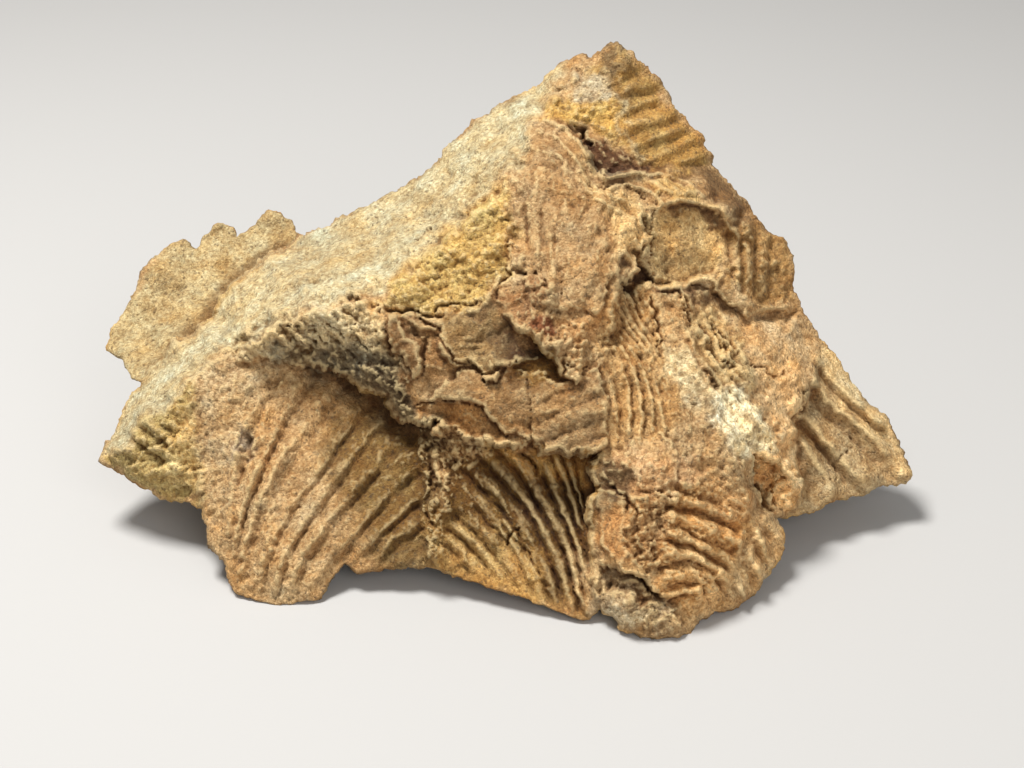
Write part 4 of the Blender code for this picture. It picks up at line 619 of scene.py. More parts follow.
    # Painted light: the nest's rim made paler where the wing's ledge shades it.
    ((250, 214, 160), 0.3, 0.8, [(16.6, -3.2), (17.9, -3.6), (18.4, -6), (17.6, -6.6), (16.9, -5.2)]),
    ((230, 184, 128), 0.6, 0.9, [(14.8, 1.4), (18, 1), (18.2, -1.4), (17.6, -4.4), (16.8, -4.4),
        (16.2, -1)]),
    ((184, 138, 88), 0.4, 1, [(4.9, -7.6), (6.2, -7.6), (7.3, -8.2), (7.5, -9.5), (7.4, -11), (7, -11.7),
        (6.1, -11.2)]),
    ((182, 138, 90), 0.6, 0.85, [(7.5, -7), (10, -7.2), (10.2, -8.6), (9.6, -10.5), (7.8, -10.5)]),
    ((194, 146, 91), 0.5, 1, [(9.8, -6.6), (12.5, -6.4), (14.5, -7.6), (14.4, -10), (13.8, -12.6),
        (12.2, -14), (9.8, -14), (9, -12)]),
    ((206, 168, 118), 0.5, 1, [(14.6, -8.2), (17, -8.2), (17.2, -11), (15.2, -13.4), (14, -12.8)]),
    ((220, 176, 120), 0.6, 0.8, [(9.6, -11), (12.4, -10.4), (14.2, -11.4), (13.6, -13.4), (11, -14.6),
        (9.6, -13)]),
    ((212, 168, 116), 0.5, 0.8, [(12.6, -6.2), (14.8, -6.6), (15.2, -8.4), (13.8, -8.8), (12.2, -7.4)]),
    ((204, 168, 120), 0.5, 0.9, [(3.6, -10.6), (5.4, -10.8), (7.4, -11.4), (5, -13.9), (3.8, -13.4)]),
    ((164, 138, 104), 0.4, 1, [(5.2, -11.8), (6.5, -11.5), (8, -12.3), (9.5, -13.5), (10.2, -14.6),
        (9.6, -16.2), (6.8, -15.4), (5.3, -14.3)]),
    ((222, 202, 166), 0.35, 0.9, [(6.4, -13.7), (7.4, -13.7), (8.6, -14.1), (9.2, -14.6), (8.6, -15.2),
        (7, -14.8), (6, -14.4)]),
    # Painted shadow: below the cleft at the foot of the nose.
    ((120, 88, 54), 0.3, 0.9, [(7.3, -12.3), (8.6, -12.4), (9.6, -13.3), (9, -13.6), (7.6, -13.2)]),
    ((222, 190, 128), 0.6, 0.9, [(-21.2, -3.4), (-19.8, -1.6), (-19.1, -6), (-20.2, -6.8), (-21.2, -6)]),
    ((188, 160, 120), 1, 0.8, [(-20, -0.6), (-17.4, 1.2), (-15.6, 0.8), (-17, -4), (-17.4, -8),
        (-18.6, -9.6), (-19.6, -6)]),
    ((140, 120, 100), 0.2, 0.7, [(-17.2, -2.8), (-16.4, -2.4), (-16.3, -4), (-16.9, -5.2), (-17.3, -4.2)]),
    ((120, 70, 42), 0.15, 0.8, [(1.4, 4.2), (2.4, 4.3), (2.7, 3.5), (2, 3), (1.4, 3.4)]),
]

# The colours of freshly broken stone: (colour, size of its spots in mm, layer of the noise).
BROKEN_GROUND = (176, 144, 100)
BROKEN_SPOTS = [
    ((206, 182, 136), 9.0, 31),
    ((146, 114, 76), 6.0, 32),
    ((198, 160, 98), 7.0, 33),
    ((140, 122, 94), 5.0, 34),
    ((168, 122, 74), 3.5, 35),
]

OUTLINE_POINTS = np.array(OUTLINE)


def to_world(across, up, toward):
    """Points of the sketch as (n, 3) metres, +Z up."""
    narrow = (SIGHT - toward) / SIGHT
    deep = up * narrow * math.sin(TILT) - toward * math.cos(TILT)
    high = SKETCH_HEIGHT + up * narrow * math.cos(TILT) + toward * math.sin(TILT)
    return np.stack([across * narrow + SHIFT[0], deep + SHIFT[1], high], axis=1) / METRE


def to_sketch(across, deep, high):
    """The sketch point of a place that is given as it stands."""
    toward = -deep * math.cos(TILT) + (high - SKETCH_HEIGHT) * math.sin(TILT)
    up = deep * math.sin(TILT) + (high - SKETCH_HEIGHT) * math.cos(TILT)
    widen = SIGHT / (SIGHT - toward)
    return across * widen, up * widen, toward


def line_distance(points, line, closed=False, reach=2.5):
    """Distance of each sketch point from a line of corners, told only up to reach."""
    corners = np.array(line, float)[:, :2]
    found = np.full(len(points), reach)
    low = corners.min(axis=0) - reach
    high = corners.max(axis=0) + reach
    close = np.flatnonzero(((points > low) & (points < high)).all(axis=1))
    ends = np.roll(corners, -1, axis=0) if closed else corners[1:]
    here = points[close]
    best = found[close]
    for start, end in zip(corners, ends):
        run = end - start
        along = np.clip((here - start) @ run / (run @ run), 0.0, 1.0)
        best = np.minimum(best, np.hypot(*(here - start - along[:, None] * run).T))
    found[close] = best
    return found


def inside(points, corners):
    """True for each sketch point that lies in the closed outline."""
    found = np.zeros(len(points), bool)
    previous = corners[-1]
    for corner in corners:
        (x0, y0), (x1, y1) = previous[:2], corner[:2]
        if y0 != y1:
            crosses = (y0 > points[:, 1]) != (y1 > points[:, 1])
            found ^= crosses & (points[:, 0] < (x1 - x0) * (points[:, 1] - y0) / (y1 - y0) + x0)
        previous = corner
    return found


def smooth(share):
    """A share of 0 to 1 with soft ends."""
    share = np.clip(share, 0.0, 1.0)
    return share * share * (3.0 - 2.0 * share)


def coverage(points, corners, edge, middle=0.0):
    """1 well inside the outline and 0 outside it, with middle on the outline and a slope as wide as edge."""
    depth = line_distance(points, corners, closed=True) * np.where(inside(points, corners), 1.0, -1.0)
    return smooth(middle + depth / edge)


def spots_of(points, size, layer):
    """Sketch points, or places, as spots of a noise of that wavelength. Each layer has its own part of it."""
    lift = SEED + 10.0 * layer
    if points.shape[1] == 3:
        return (points / size + lift).tolist()
    return np.column_stack([points / size, np.full(len(points), lift)]).tolist()


def rough(points, size, layer):
    """Seeded noise of that wavelength, from about -1 to 1."""
    return np.array([noise.noise(spot) for spot in spots_of(points, size, layer)])


def summed(points, noises):
    """Several such noises, one on another."""
    return sum(share * rough(points, size, layer) for share, size, layer in noises)


def wander(points, reach, strays=STRAYS):
    """Where each sketch point lands when it strays by up to about reach."""
    across = summed(points, strays)
    up = summed(points, [(share, size, layer + 1) for share, size, layer in strays])
    return points + reach * np.stack([across, up], axis=1)


def fractal(points, size, layer, octaves=3, gain=0.6):
    """Noise of that wavelength with finer and finer noise on it."""
    return sum(gain ** k * rough(points, size * 0.5 ** k, layer + 0.37 * k) for k in range(octaves))


def chips(points, size, layer):
    """Small flat faces, each at its own height and tilt, from about -1 to 1."""
    made = []
    for spot in spots_of(points, size, layer):
        core = noise.voronoi(spot)[1][0]
        tilt = noise.cell_vector(core * 37.0)
        made.append(0.6 * tilt.z + 0.7 * tilt.dot(Vector(spot) - core))
    return np.array(made)


def crumbs(points, size, layer):
    """Angular crumbs with smaller and smaller ones on them, from about -1 to 1."""
    swings = (0.9, 0.6, 0.4)
    return sum(swing * chips(points, size * 0.5 ** k, layer + 0.37 * k) for k, swing in enumerate(swings))


def sheets(points, size, layer):
    """Steps with ragged edges, as thin sheets of stone leave them when they break away."""
    steps = 3.5
    level = steps * fractal(points, size, layer, 4, 0.5)
    floor = np.floor(level)
    return (floor + smooth((level - floor) / 0.2)) / steps


def resampled(outline, step):
    """The outline's points with more between them, so that none is further than step from the next."""
    made = []
    for start, end in zip(outline, np.roll(outline, -1, axis=0)):
        pieces = max(1, math.ceil(math.dist(start[:2], end[:2]) / step))
        made += [start + (end - start) * k / pieces for k in range(pieces)]
    return np.array(made)


def frayed(border):
    """The stone's outline with a broken edge."""
    runs = np.roll(border, -2, axis=0) - np.roll(border, 2, axis=0)
    out = np.stack([-runs[:, 1], runs[:, 0]], axis=1)
    out /= np.linalg.norm(out, axis=1)[:, None]
    made = border.copy()
    made[:, :2] += FRAYED * fractal(border[:, :2], 0.9, 28)[:, None] * out
    return made


def ledge_lines(ledge, step, teeth):
    """A ledge's lip and its foot, as two ragged lines of sketch points."""
    corners = np.array(ledge, float)
    runs = np.gradient(corners[:, :2], axis=0)
    right = np.stack([runs[:, 1], -runs[:, 0]], axis=1)
    right /= np.linalg.norm(right, axis=1)[:, None]
    table = np.column_stack([corners, right])
    pieces = [max(1, round(math.dist(a[:2], b[:2]) / step)) for a, b in zip(corners, corners[1:])]
    stations = np.concatenate([k + np.arange(n) / n for k, n in enumerate(pieces)] + [[len(pieces)]])
    dense = np.stack([np.interp(stations, np.arange(len(table)), column) for column in table.T], axis=1)
    count = len(dense)
    knots = np.arange(0, count + 2, 2)
    teeth_at_knots = np.random.default_rng(count).uniform(-teeth, teeth, len(knots))
    tooth = np.interp(np.arange(count), knots, teeth_at_knots)
    ragged = wander(dense[:, :2], RAGGED) + tooth[:, None] * dense[:, 4:6]
    lip = np.column_stack([ragged, dense[:, 2]])
    foot = np.column_stack([ragged + CLIFF * dense[:, 4:6], dense[:, 3]])
    return lip, foot


def tree_of(line):
    """A tree that finds the nearest point of a dense line."""
    tree = kdtree.KDTree(len(line))
    for k, point in enumerate(line):
        tree.insert((point[0], point[1], 0.0), k)
    tree.balance()
    return tree


def nearest(points, line):
    """Distance of each sketch point from a dense line."""
    tree = tree_of(line)
    return np.array([tree.find((x, y, 0.0))[2] for x, y in points.tolist()])


def away(points, border, reach):
    """0 for a sketch point on the border, and 1 from a few times reach away from it."""
    return 1.0 - np.exp(-nearest(points, border) / reach)


def ring(count):
    """The edges of a closed line of that many points."""
    return [(k, (k + 1) % count) for k in range(count)]


class Drape:
    """The triangles that hang between a sheet's border, its lines and its single points."""

    def __init__(self, border, lines, spots):
        points = list(border)
        edges = ring(len(border))
        for line in lines:
            first = len(points)
            points += list(line)
            edges += [(first + k, first + k + 1) for k in range(len(line) - 1)]
        points += [np.array(spot, float) for spot in spots]
        flat = [Vector(point[:2]) for point in points]
        made, _, faces, origins, _, _ = delaunay_2d_cdt(flat, edges, [], 0, 1e-4)
        depths = [points[origin[0]][2] if origin else None for origin in origins]
        if None in depths:
            raise ValueError("two lines of the sketch cross")
        self.faces = BVHTree.FromPolygons([(v.x, v.y, d) for v, d in zip(made, depths)], faces)
        self.border = resampled(border, EDGE_STEP)
        self.edge = tree_of(self.border)

    def depths(self, points):
        """The depth at each sketch point. Past the border it is the border's own."""
        above = 100.0
        found = []
        for x, y in points.tolist():
            hit = self.faces.ray_cast((x, y, above), (0.0, 0.0, -1.0))[0]
            found.append(hit.z if hit else self.border[self.edge.find((x, y, 0.0))[1]][2])
        return np.array(found)


def sheet_points(border, spacing):
    """The sketch points of a sheet, the border's first, and its triangles."""
    low = border[:, :2].min(axis=0)
    high = border[:, :2].max(axis=0)
    columns = np.arange(low[0], high[0], spacing)
    rows = np.arange(low[1], high[1], ROW * spacing)
    grid = np.stack(np.meshgrid(columns, rows), axis=-1)
    grid[1::2, :, 0] += 0.5 * spacing
    grid = grid.reshape(-1, 2)
    grid += np.random.default_rng(SEED).uniform(-0.15, 0.15, grid.shape) * spacing
    grid = grid[inside(grid, border)]
    grid = grid[nearest(grid, border) > 0.6 * spacing]
    points = np.vstack([border[:, :2], grid])
    flat = [Vector(point) for point in points]
    made, _, faces, _, _, _ = delaunay_2d_cdt(flat, ring(len(border)), [list(range(len(border)))], 1, 1e-6)
    if len(made) != len(points):
        raise ValueError("the outline crosses itself")
    return points, np.array([list(face) for face in faces])


def fan_relief(points, fan):
    """A fan's ribs, which fade where they have too little room."""
    offset = points - fan["centre"]
    turn = np.degrees(np.arctan2(offset[:, 1], offset[:, 0])) / fan["pitch"]
    gap = np.hypot(offset[:, 0], offset[:, 1]) * math.radians(fan["pitch"])
    wave = np.abs(np.sin(math.pi * turn))
    wave = 1.0 - wave ** 0.8 if fan["sharp"] else wave ** 2
    room = np.clip((gap - 0.35) / 0.45, 0.0, 1.0)
    return fan["height"] * (wave - 0.5) * room * coverage(points, fan["region"], 0.6)


def left_of(points, line):
    """True for each sketch point that is on the left of the way the line runs."""
    corners = np.array(line, float)
    runs = np.diff(corners, axis=0)
    offset = points[:, None] - corners[:-1]
    along = np.clip((offset * runs).sum(axis=2) / (runs ** 2).sum(axis=1), 0.0, 1.0)
    part = np.argmin(np.linalg.norm(offset - along[..., None] * runs, axis=2), axis=1)
    run = runs[part]
    here = offset[np.arange(len(points)), part]
    return run[:, 0] * here[:, 1] > run[:, 1] * here[:, 0]


def nearest_lines(points, lines, reach=6.0):
    """Which line is nearest to each sketch point, and how far it and the next one are."""
    found = np.stack([line_distance(points, line, reach=reach) for line in lines])
    order = np.argsort(found, axis=0, kind="stable")
    here = np.arange(len(points))
    return order[0], found[order[0], here], found[order[1], here]


def grooved(points, grooves):
    """Round ribs between drawn grooves. Each groove is as wide as its distance from the next one allows."""
    depths = np.array([depth for depth, _ in grooves])
    which, close, next_one = nearest_lines(points, [line for _, line in grooves])
    half = np.clip(0.5 * (close + next_one), 0.15, WIDEST)
    return depths[which] * (np.sin(0.5 * math.pi * np.minimum(1.0, close / half)) ** 0.8 - 1.0)


def crested(points, crests):
    """Narrow drawn crests, each with a trough on the left of its way and a long slope on its right."""
    which, close, next_one = nearest_lines(points, crests)
    on_left = np.zeros(len(points), bool)
    for k, line in enumerate(crests):
        on_left[which == k] = left_of(points[which == k], line)
    share = close / np.maximum(close + next_one, 1e-6)
    rise = 0.4 * smooth((share - TROUGH) / (0.5 - TROUGH))
    drop = np.where(share < TROUGH, 1.0 - smooth(share / TROUGH), rise)
    slope = 1.0 - 0.6 * smooth(share / 0.5)
    return np.where(on_left, drop, slope) - 0.5


def headed(points, heading):
    """How far each sketch point is along a heading in degrees, and how far across it."""
    turn = math.radians(heading)
    return points @ (math.cos(turn), math.sin(turn)), points @ (-math.sin(turn), math.cos(turn))


def add_where(height, share, points, relief):
    """Adds the relief where its share is above 0."""
    here = np.flatnonzero(share > 0.0)
    height[here] += share[here] * relief(points[here])


def ribs(points):
    """The ribs of the shells, each stronger here and fainter there."""
    strayed = wander(points, 1.0, RIB_STRAYS)
    drawn = wander(points, 1.0, LINE_STRAYS)
    height = np.zeros(len(points))
    for fan in FANS.values():
        height += fan_relief(strayed, fan)
    for area, grooves in GROOVES:
        add_where(height, coverage(drawn, area, 0.8), drawn, lambda here: grooved(here, grooves))
    for rise, area, lines in CRESTS:
        add_where(height, coverage(drawn, area, 1.5), drawn, lambda here: rise * crested(here, lines))
    for rise, half, line in RIDGES:
        height += rise * (1.0 - smooth(line_distance(drawn, line, reach=1.5) / half))
    for rise, pitch, heading, area in STRIAE:
        across = headed(strayed, heading)[1] + 0.5 * rough(points, 2.5, 11)
        lines = np.abs(np.sin(math.pi * across / pitch)) - 0.5
        height += rise * lines * coverage(points, area, 0.6)
    return height * np.clip(1.0 + summed(points, RIB_SWELLS), 0.4, 1.4)


def broken(points, lump, sheet, size, heading, stretch):
    """Lumps and thin broken sheets that are longer the way of their heading."""
    along, across = headed(points, heading)
    turned = np.stack([along / stretch, across], axis=1)
    return lump * crumbs(turned, size, 20) + sheet * sheets(turned, 2.2 * size, 22)


def breakage(points):
    """How each part of the face is broken."""
    height = np.zeros(len(points))
    strayed = wander(points, 0.6)
    for *kind, area in BROKEN:
        add_where(height, coverage(strayed, area, 0.7, 0.3), points, lambda here: broken(here, *kind))
    return height


def calmness(points):
    """How much smoother than the rest the stone is at each sketch point, from 0 to 1."""
    rest = np.ones(len(points))
    for share, area in CALM:
        rest *= 1.0 - share * coverage(points, area, 0.8, 0.3)
    return 1.0 - rest


def grit(points):
    """The coarsest grains of the stone."""
    large = 0.1 * chips(wander(points, 0.3), 0.7, 14)
    return large + 0.08 * chips(points, 0.33, 15) + 0.12 * rough(points, 0.35, 13)


def near_relief(points, calm):
    """What stands on the draped near face, in mm."""
    height = summed(points, SWELLS)
    strayed = wander(points, 0.55)
    for thickness, area in FLAKES.values():
        height += thickness * coverage(strayed, area, 0.2)
    narrowed = np.maximum(0.3, 0.65 + 0.9 * rough(points, 0.8, 19))
    for depth, half, line in CRACKS:
        share = line_distance(strayed, line, reach=1.0) / (narrowed * half)
        height -= depth * np.clip(1.0 - share, 0.0, 1.0)
    return height + ribs(points) + breakage(points) + (1.0 - calm) * grit(points)


def hidden_relief(points, border):
    """What the hidden sheet adds to its draped form: its turned edge, its broken faces and one more shell."""
    made = 0.5 * crumbs(wander(points, 0.9), 3.6, 10) + 0.6 * sheets(points, 4.0, 24)
    made += 1.2 * rough(points, 5.0, 5) - fan_relief(wander(points, 0.4), BACK_FAN)
    return away(points, border, 0.6) * (made - ROUND)


def srgb(red, green, blue):
    """A colour given in 0 to 255 as linear values."""
    share = np.array([red, green, blue]) / 255.0
    return np.where(share <= 0.04045, share / 12.92, ((share + 0.055) / 1.055) ** 2.4)


def painted(ground, coats):
    """The ground's colour with a list of coats on it, each a colour and its share at each point."""
    colour = srgb(*ground)
    for tone, share in coats:
        colour = colour + share[:, None] * (srgb(*tone) - colour)
    return colour


def paint(points):
    """The colour of each sketch point of the near face, with the painted shade and painted light that some
    patches hold.
    """
    strayed = wander(points, 0.9)
    return painted(GROUND, [(tone, strength * coverage(strayed, area, 2.0 * edge, 0.5))
                            for tone, edge, strength, area in PATCHES])


def paint_broken(places):
    """The colour of the broken stone at each place."""
    return painted(BROKEN_GROUND, [(tone, smooth(5.0 * (fractal(places, size, layer) - 0.1)))
                                   for tone, size, layer in BROKEN_SPOTS])


def near_sheet(border, base):
    """The near face: its sketch points, their depths, what stands on them and its triangles."""
    points, faces = sheet_points(border, FINE)
    edge = len(border)
    inner = points[edge:]
    settled = away(inner, border, 0.4)
    calm = calmness(inner)
    strayed = inner + (settled * (1.0 - calm))[:, None] * (wander(inner, 0.6) - inner)
    relief = near_relief(inner, calm)
    relief *= np.where(relief < 0.0, settled, 0.4 + 0.6 * settled)
    depth = np.append(border[:, 2], base.depths(strayed))
    return points, depth, np.append(np.zeros(edge), relief), faces


def hidden_sheet(border, near_base):
    """The back and the underside: their sketch points, depths and triangles."""
    points, faces = sheet_points(border, COARSE)
    inner = points[len(border):]
    base = Drape(OUTLINE_POINTS - (0.0, 0.0, RIM), [], [to_sketch(*place) for place in HIDDEN])
    thinnest = np.minimum(LEAST, RIM + nearest(inner, border)) + 0.6
    depth = np.minimum(base.depths(inner) + hidden_relief(inner, border), near_base.depths(inner) - thinnest)
    return points, np.append(border[:, 2] - RIM, depth), faces


def linked(name, data):
    """A new object in the scene."""
    made = bpy.data.objects.new(name, data)
    bpy.context.scene.collection.objects.link(made)
    return made


def stone_object():
    """The stone's fine mesh, with its colours and its hollows and crests, for painted shade and highlights,
    stored on its points.
    """
    border = frayed(resampled(OUTLINE_POINTS, BORDER_STEP))
    lines = []
    for name, ledge in LEDGES.items():
        lines += ledge_lines(ledge, LEDGE_STEP, LONG_TEETH if name == "overhang" else TEETH)
    base = Drape(OUTLINE_POINTS, lines, NEAR)
    near_points, near_depth, relief, near_faces = near_sheet(border, base)
    far_points, far_depth, far_faces = hidden_sheet(border, base)
    count = len(near_points)
    rim = [(a, b, count + b, count + a) for a, b in ring(len(border))]
    mesh = bpy.data.meshes.new("stone")
    places = np.vstack([to_world(*near_points.T, near_depth), to_world(*far_points.T, far_depth)])
    mesh.from_pydata(places.tolist(), [], near_faces.tolist() + (far_faces[:, ::-1] + count).tolist() + rim)
    raise_relief(mesh, np.append(relief, np.zeros(len(far_points))))
    store_colour(mesh, paint(np.vstack([near_points, far_points])))
    near_share = away(near_points, border, 0.8)
    far_share = away(far_points, border, 0.8)
    store(mesh, "worn", np.append(0.35 * (1.0 - near_share), np.ones(len(far_points))))
    store(mesh, "far", np.append(np.zeros(count), far_share))
    # marked: where the hollows and crests get painted shade and highlights, less near the rim and half as
    # much on the hidden side.
    store(mesh, "marked", np.append(near_share, 0.5 * far_share))
    split_long(mesh)
    weather(mesh)
    mesh.polygons.foreach_set("use_smooth", [True] * len(mesh.polygons))
    return linked("stone_surface", mesh)


def store(mesh, name, values):
    """Keeps a number for each point of the mesh."""
    mesh.attributes.new(name, "FLOAT", "POINT").data.foreach_set("value", values.astype(np.float32))


def store_colour(mesh, colour):
    """Keeps the tint of each point of the mesh."""
    opaque = np.column_stack([colour, np.ones(len(colour))]).astype(np.float32)
    mesh.attributes.new("tint", "FLOAT_COLOR", "POINT").data.foreach_set("color", opaque.ravel())


def read(holder, field, width):
    """A field of all points of a mesh, as rows."""
    values = np.zeros(len(holder) * width)
    holder.foreach_get(field, values)
    return values.reshape(-1, width)


def taken(mesh, name, field="value", width=1):
    """What the mesh keeps for each point under that name, which it then forgets."""
    attribute = mesh.attributes[name]
    values = read(attribute.data, field, width)
    mesh.attributes.remove(attribute)
    return values


def neighbours(mesh):
    """The pairs of joined points, each both ways round, and how many each point has."""
    pairs = np.zeros(len(mesh.edges) * 2, np.int32)
    mesh.edges.foreach_get("vertices", pairs)
    pairs = pairs.reshape(-1, 2)
    both = np.vstack([pairs, pairs[:, ::-1]])
    return both, np.bincount(both[:, 0], minlength=len(mesh.vertices)).astype(float)


def smoothed(values, edges, degree, times):
    """Values averaged over each point's neighbours, several times."""
    for _ in range(times):
        total = np.zeros_like(values)
        for column in range(values.shape[1]):
            total[:, column] = np.bincount(edges[:, 0], values[edges[:, 1], column], len(values))
        values = 0.5 * values + 0.5 * total / degree[:, None]
    return values


def facing(normals):
    """1 where the surface faces the eye, 0 where it is seen edge-on."""
    return np.abs(normals @ TO_EYE)


def raise_relief(mesh, relief):
    """Moves each point by its relief in mm, towards the eye and a little along the surface's broad normal."""
    normals = smoothed(read(mesh.vertex_normals, "vector", 3), *neighbours(mesh), 150)
    normals /= np.linalg.norm(normals, axis=1)[:, None]
    share = 0.2 * smooth((facing(normals) - 0.1) / 0.3)[:, None]
    relief = relief * (0.6 + 0.4 * facing(normals))
    ways = (1.0 - share) * TO_EYE + share * normals
    places = read(mesh.vertices, "co", 3) + relief[:, None] * ways / METRE
    mesh.vertices.foreach_set("co", places.ravel())
    mesh.update()


def cut_corners(built):
    """Splits the faces of a bmesh that have more than three corners."""
    bmesh.ops.triangulate(built, faces=[face for face in built.faces if len(face.verts) > 3])


def split_long(mesh):
    """Splits the triangles that steep faces have stretched."""
    built = bmesh.new()
    built.from_mesh(mesh)
    cut_corners(built)
    for longest in (4.0 * LONGEST, 2.0 * LONGEST, LONGEST):
        long = [edge for edge in built.edges if edge.calc_length() > longest / METRE]
        bmesh.ops.subdivide_edges(built, edges=long, cuts=1)
        cut_corners(built)
    built.to_mesh(mesh)
    built.free()
    mesh.update()


def weather(mesh):
    """Breaks up the rim, the steep faces and the hidden side, and stores the colours and the hollows and
    crests, on which the material paints shade and highlights.
    """
    both, degree = neighbours(mesh)
    places = read(mesh.vertices, "co", 3) * METRE
    normals = smoothed(read(mesh.vertex_normals, "vector", 3), both, degree, 6)
    far, worn, marked = (taken(mesh, name)[:, 0] for name in ("far", "worn", "marked"))
    tint = taken(mesh, "tint", "color", 4)[:, :3]
    steep = 1.0 - smooth((facing(normals) - 0.15) / 0.3)

    share = np.maximum(worn, steep)
    here = np.flatnonzero(share > FAINT)
    bumps = 0.2 * (1.0 - 0.3 * far[here]) * crumbs(places[here], 1.3, 41)
    bumps += 1.1 * far[here] * sheets(places[here], 6.0, 42)
    places[here] += (share[here] * bumps)[:, None] * normals[here]
    places[:, 2] = np.maximum(places[:, 2], 0.0)
    mesh.vertices.foreach_set("co", (places / METRE).ravel())
    mesh.update()

    share = np.maximum(far, 0.75 * steep)
    here = np.flatnonzero(share > FAINT)
    tint[here] += share[here, None] * (paint_broken(places[here]) - tint[here])
    store_colour(mesh, tint)
    normals = smoothed(read(mesh.vertex_normals, "vector", 3), both, degree, 6)
    close = smoothed(places, both, degree, 8)
    # How far each point sinks into a hollow or stands on a crest, which the material turns into painted shade
    # and painted highlights.
    wide = smoothed(close, both, degree, 90)
    for name, mean in (("small_relief", close), ("large_relief", wide)):
        store(mesh, name, ((places - mean) * normals).sum(axis=1) * marked)


class Nodes:
    """Adds nodes to a material and joins them."""

    def __init__(self, material):
        material.use_nodes = True
        self.tree = material.node_tree
        self.shader = self.tree.nodes["Principled BSDF"]

    def add(self, kind, inputs=None, **settings):
        node = self.tree.nodes.new(kind)
        for key, value in settings.items():
            setattr(node, key, value)
        for key, value in (inputs or {}).items():
            self.put(value, node.inputs[key])
        return node

    def put(self, value, socket):
        if isinstance(value, bpy.types.NodeSocket):
            self.tree.links.new(value, socket)
        else:
            socket.default_value = value

    def kept(self, name, output="Fac"):
        """What the mesh keeps for each point under that name."""
        return self.add("ShaderNodeAttribute", attribute_name=name).outputs[output]

    def maths(self, operation, *values):
        return self.add("ShaderNodeMath", dict(enumerate(values)), operation=operation).outputs[0]

    def scaled(self, value, low, high, to_low=0.0, to_high=1.0):
        """value carried from low..high to to_low..to_high, and kept between those."""
        inputs = {"Value": value, "From Min": low, "From Max": high, "To Min": to_low, "To Max": to_high}
        return self.add("ShaderNodeMapRange", inputs).outputs[0]

    def mixed(self, mode, share, one, other):
        node = self.add("ShaderNodeMix", data_type="RGBA", blend_type=mode)
        self.put(share, node.inputs[0])
        self.put(one, node.inputs[6])
        self.put(other, node.inputs[7])
        return node.outputs[2]

    def varied(self, colour, share, low, high):
        """The colour times something from low to high."""
        factor = self.mixed("MIX", share, (*low, 1.0), (*high, 1.0))
        return self.mixed("MULTIPLY", 1.0, colour, factor)

    def noise(self, place, millimetres, detail=3.0, roughness=0.6):
        inputs = {"Vector": place, "Scale": METRE / millimetres, "Detail": detail, "Roughness": roughness}
        return self.add("ShaderNodeTexNoise", inputs).outputs[0]

    def cells(self, place, millimetres):
        return self.add("ShaderNodeTexVoronoi", {"Vector": place, "Scale": METRE / millimetres}).outputs


def stained(nodes, colour, place, middle, fine):
    """The colour with its clouds of lighter, darker and rustier stone."""
    moved = nodes.add("ShaderNodeVectorMath", {0: place, 1: (0.05, 0.02, 0.01)}).outputs[0]
    clouds = nodes.scaled(nodes.noise(place, 5.0, 4.0), 0.3, 0.7)
    stains = nodes.scaled(nodes.noise(moved, 2.2, 5.0, 0.7), 0.3, 0.7)
    spots = nodes.scaled(middle, 0.36, 0.64)
    colour = nodes.varied(colour, clouds, (0.88, 0.82, 0.74), (1.08, 1.12, 1.16))
    colour = nodes.varied(colour, stains, (1.04, 0.92, 0.74), (0.88, 1.0, 1.18))
    colour = nodes.varied(colour, spots, (0.82, 0.76, 0.68), (1.12, 1.17, 1.22))
    return nodes.varied(colour, nodes.scaled(fine, 0.36, 0.64), (0.70, 0.63, 0.55), (1.24, 1.31, 1.36))


def grained(nodes, colour, place, grains):
    """The colour with its sand grains, a few of them dark, and its thin dark threads."""
    chance = nodes.add("ShaderNodeSeparateColor", {"Color": grains["Color"]}).outputs
    colour = nodes.varied(colour, chance[0], (0.80, 0.78, 0.74), (1.20, 1.20, 1.20))
    dark = nodes.scaled(chance[2], 0.93, 0.96, 0.0, 0.5)
    colour = nodes.mixed("MIX", dark, colour, (0.07, 0.045, 0.025, 1.0))
    thread = nodes.maths("ABSOLUTE", nodes.maths("SUBTRACT", nodes.noise(place, 1.1), 0.5))
    return nodes.mixed("MIX", nodes.scaled(thread, 0.0, 0.012, 0.45, 0.0), colour, (0.10, 0.055, 0.025, 1.0))


def painted_shade_and_highlight(nodes, colour):
    """The colour with painted shade darkening its clefts and painted highlights lightening its crests."""
    small = nodes.kept("small_relief")
    large = nodes.kept("large_relief")
    # hollow: how much painted shade a cleft gets; crest: how much painted highlight a crest gets
    hollow = nodes.maths("MAXIMUM", nodes.scaled(small, -0.02, -0.16), nodes.scaled(large, -0.15, -0.7))
    crest = nodes.maths("MAXIMUM", nodes.scaled(small, 0.02, 0.12), nodes.scaled(large, 0.25, 0.9, 0.0, 0.4))
    # Painted shade: clefts multiplied towards dark brown. Painted highlight: crests lightened towards pale
    # gold.
    colour = nodes.mixed("MULTIPLY", nodes.maths("MULTIPLY", hollow, 0.85), colour, (0.34, 0.22, 0.12, 1.0))
    return nodes.mixed("LIGHTEN", nodes.maths("MULTIPLY", crest, 0.38), colour, (0.82, 0.63, 0.32, 1.0))


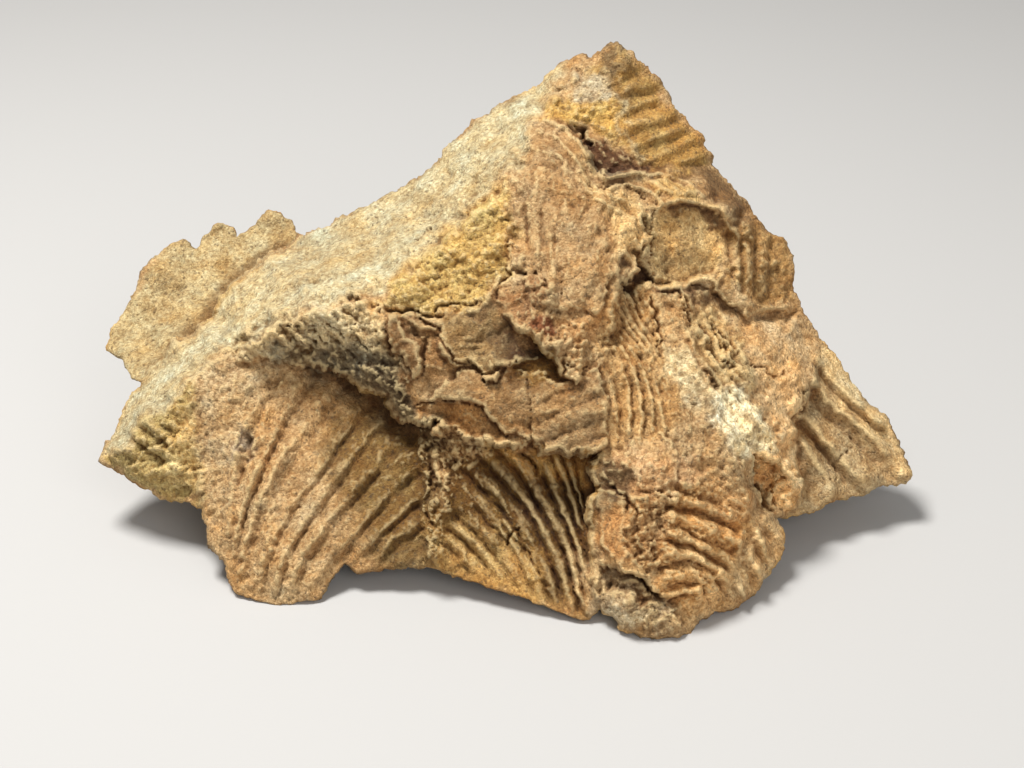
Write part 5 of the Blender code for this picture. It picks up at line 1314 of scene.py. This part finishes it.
def stone_material():
    """Sandy siltstone: grains, iron stains, painted shade in the clefts and painted highlights on the crests.
    """
    material = bpy.data.materials.new("siltstone_surface")
    nodes = Nodes(material)
    place = nodes.add("ShaderNodeTexCoord").outputs["Object"]
    middle = nodes.noise(place, 1.3, 4.0, 0.65)
    fine = nodes.noise(place, 0.26, 4.0, 0.8)
    grains = nodes.cells(place, 0.15)
    colour = stained(nodes, nodes.kept("tint", "Color"), place, middle, fine)
    # Painted shade in the clefts and painted highlights on the crests go over the grains.
    colour = painted_shade_and_highlight(nodes, grained(nodes, colour, place, grains))
    nodes.put(colour, nodes.shader.inputs["Base Color"])
    nodes.put(nodes.scaled(middle, 0.3, 0.7, 0.95, 0.78), nodes.shader.inputs["Roughness"])
    nodes.shader.inputs["Specular IOR Level"].default_value = 0.3
    heights = nodes.maths("MULTIPLY", fine, 0.16)
    heights = nodes.maths("ADD", heights, nodes.maths("MULTIPLY", grains["Distance"], -0.06))
    heights = nodes.maths("ADD", heights, nodes.maths("MULTIPLY", nodes.noise(place, 0.14, 2.0), 0.06))
    bump = nodes.add("ShaderNodeBump", {"Height": heights, "Distance": 1.0 / METRE, "Strength": 1.0})
    nodes.put(bump.outputs[0], nodes.shader.inputs["Normal"])
    return material


def floor_object():
    """A plain pale floor."""
    half = 1.5
    mesh = bpy.data.meshes.new("floor")
    corners = [(-half, -half, 0.0), (half, -half, 0.0), (half, half, 0.0), (-half, half, 0.0)]
    mesh.from_pydata(corners, [], [(0, 1, 2, 3)])
    material = bpy.data.materials.new("floor")
    nodes = Nodes(material)
    nodes.shader.inputs["Base Color"].default_value = (0.40, 0.395, 0.39, 1.0)
    nodes.shader.inputs["Roughness"].default_value = 0.9
    mesh.materials.append(material)
    return linked("floor", mesh)


def aimed(lens_or_lamp, place, target):
    """Puts a camera or a lamp at its place and turns it to the target."""
    lens_or_lamp.location = place
    lens_or_lamp.rotation_euler = (Vector(target) - Vector(place)).to_track_quat("-Z", "Y").to_euler()


def area_light(name, place, size, power, colour):
    light = bpy.data.lights.new(name, "AREA")
    light.shape = "DISK"
    light.size = size
    light.energy = power
    light.color = colour
    aimed(linked(name, light), place, (0.0, 0.0, 0.01))


def add_light():
    """A pale room with a soft key light above the stone and a wide fill light beside the eye."""
    world = bpy.data.worlds.new("studio")
    bpy.context.scene.world = world
    world.use_nodes = True
    room = world.node_tree.nodes["Background"].inputs
    room["Color"].default_value = (1.0, 0.985, 0.96, 1.0)
    room["Strength"].default_value = 0.36
    area_light("key", place=(-0.07, 0.0, 0.23), size=0.08, power=0.95, colour=(1.0, 0.985, 0.95))
    area_light("fill", place=(0.08, -0.22, 0.12), size=0.18, power=0.32, colour=(1.0, 0.99, 0.97))


def add_camera():
    """The eye of the sketch plane, which looks at the sketch's centre."""
    data = bpy.data.cameras.new("camera")
    data.sensor_width = SENSOR
    data.lens = SENSOR * SIGHT / FRAME_WIDTH
    data.clip_start = 0.005
    camera = linked("camera", data)
    centre = np.array([*SHIFT, SKETCH_HEIGHT])
    aimed(camera, (centre + SIGHT * TO_EYE) / METRE, centre / METRE)
    bpy.context.scene.camera = camera


stone = stone_object()
stone.data.materials.append(stone_material())
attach(stone, "root")
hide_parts("fossil_clam")
floor_object()
add_camera()
add_light()
bpy.context.scene.view_settings.view_transform = "Standard"
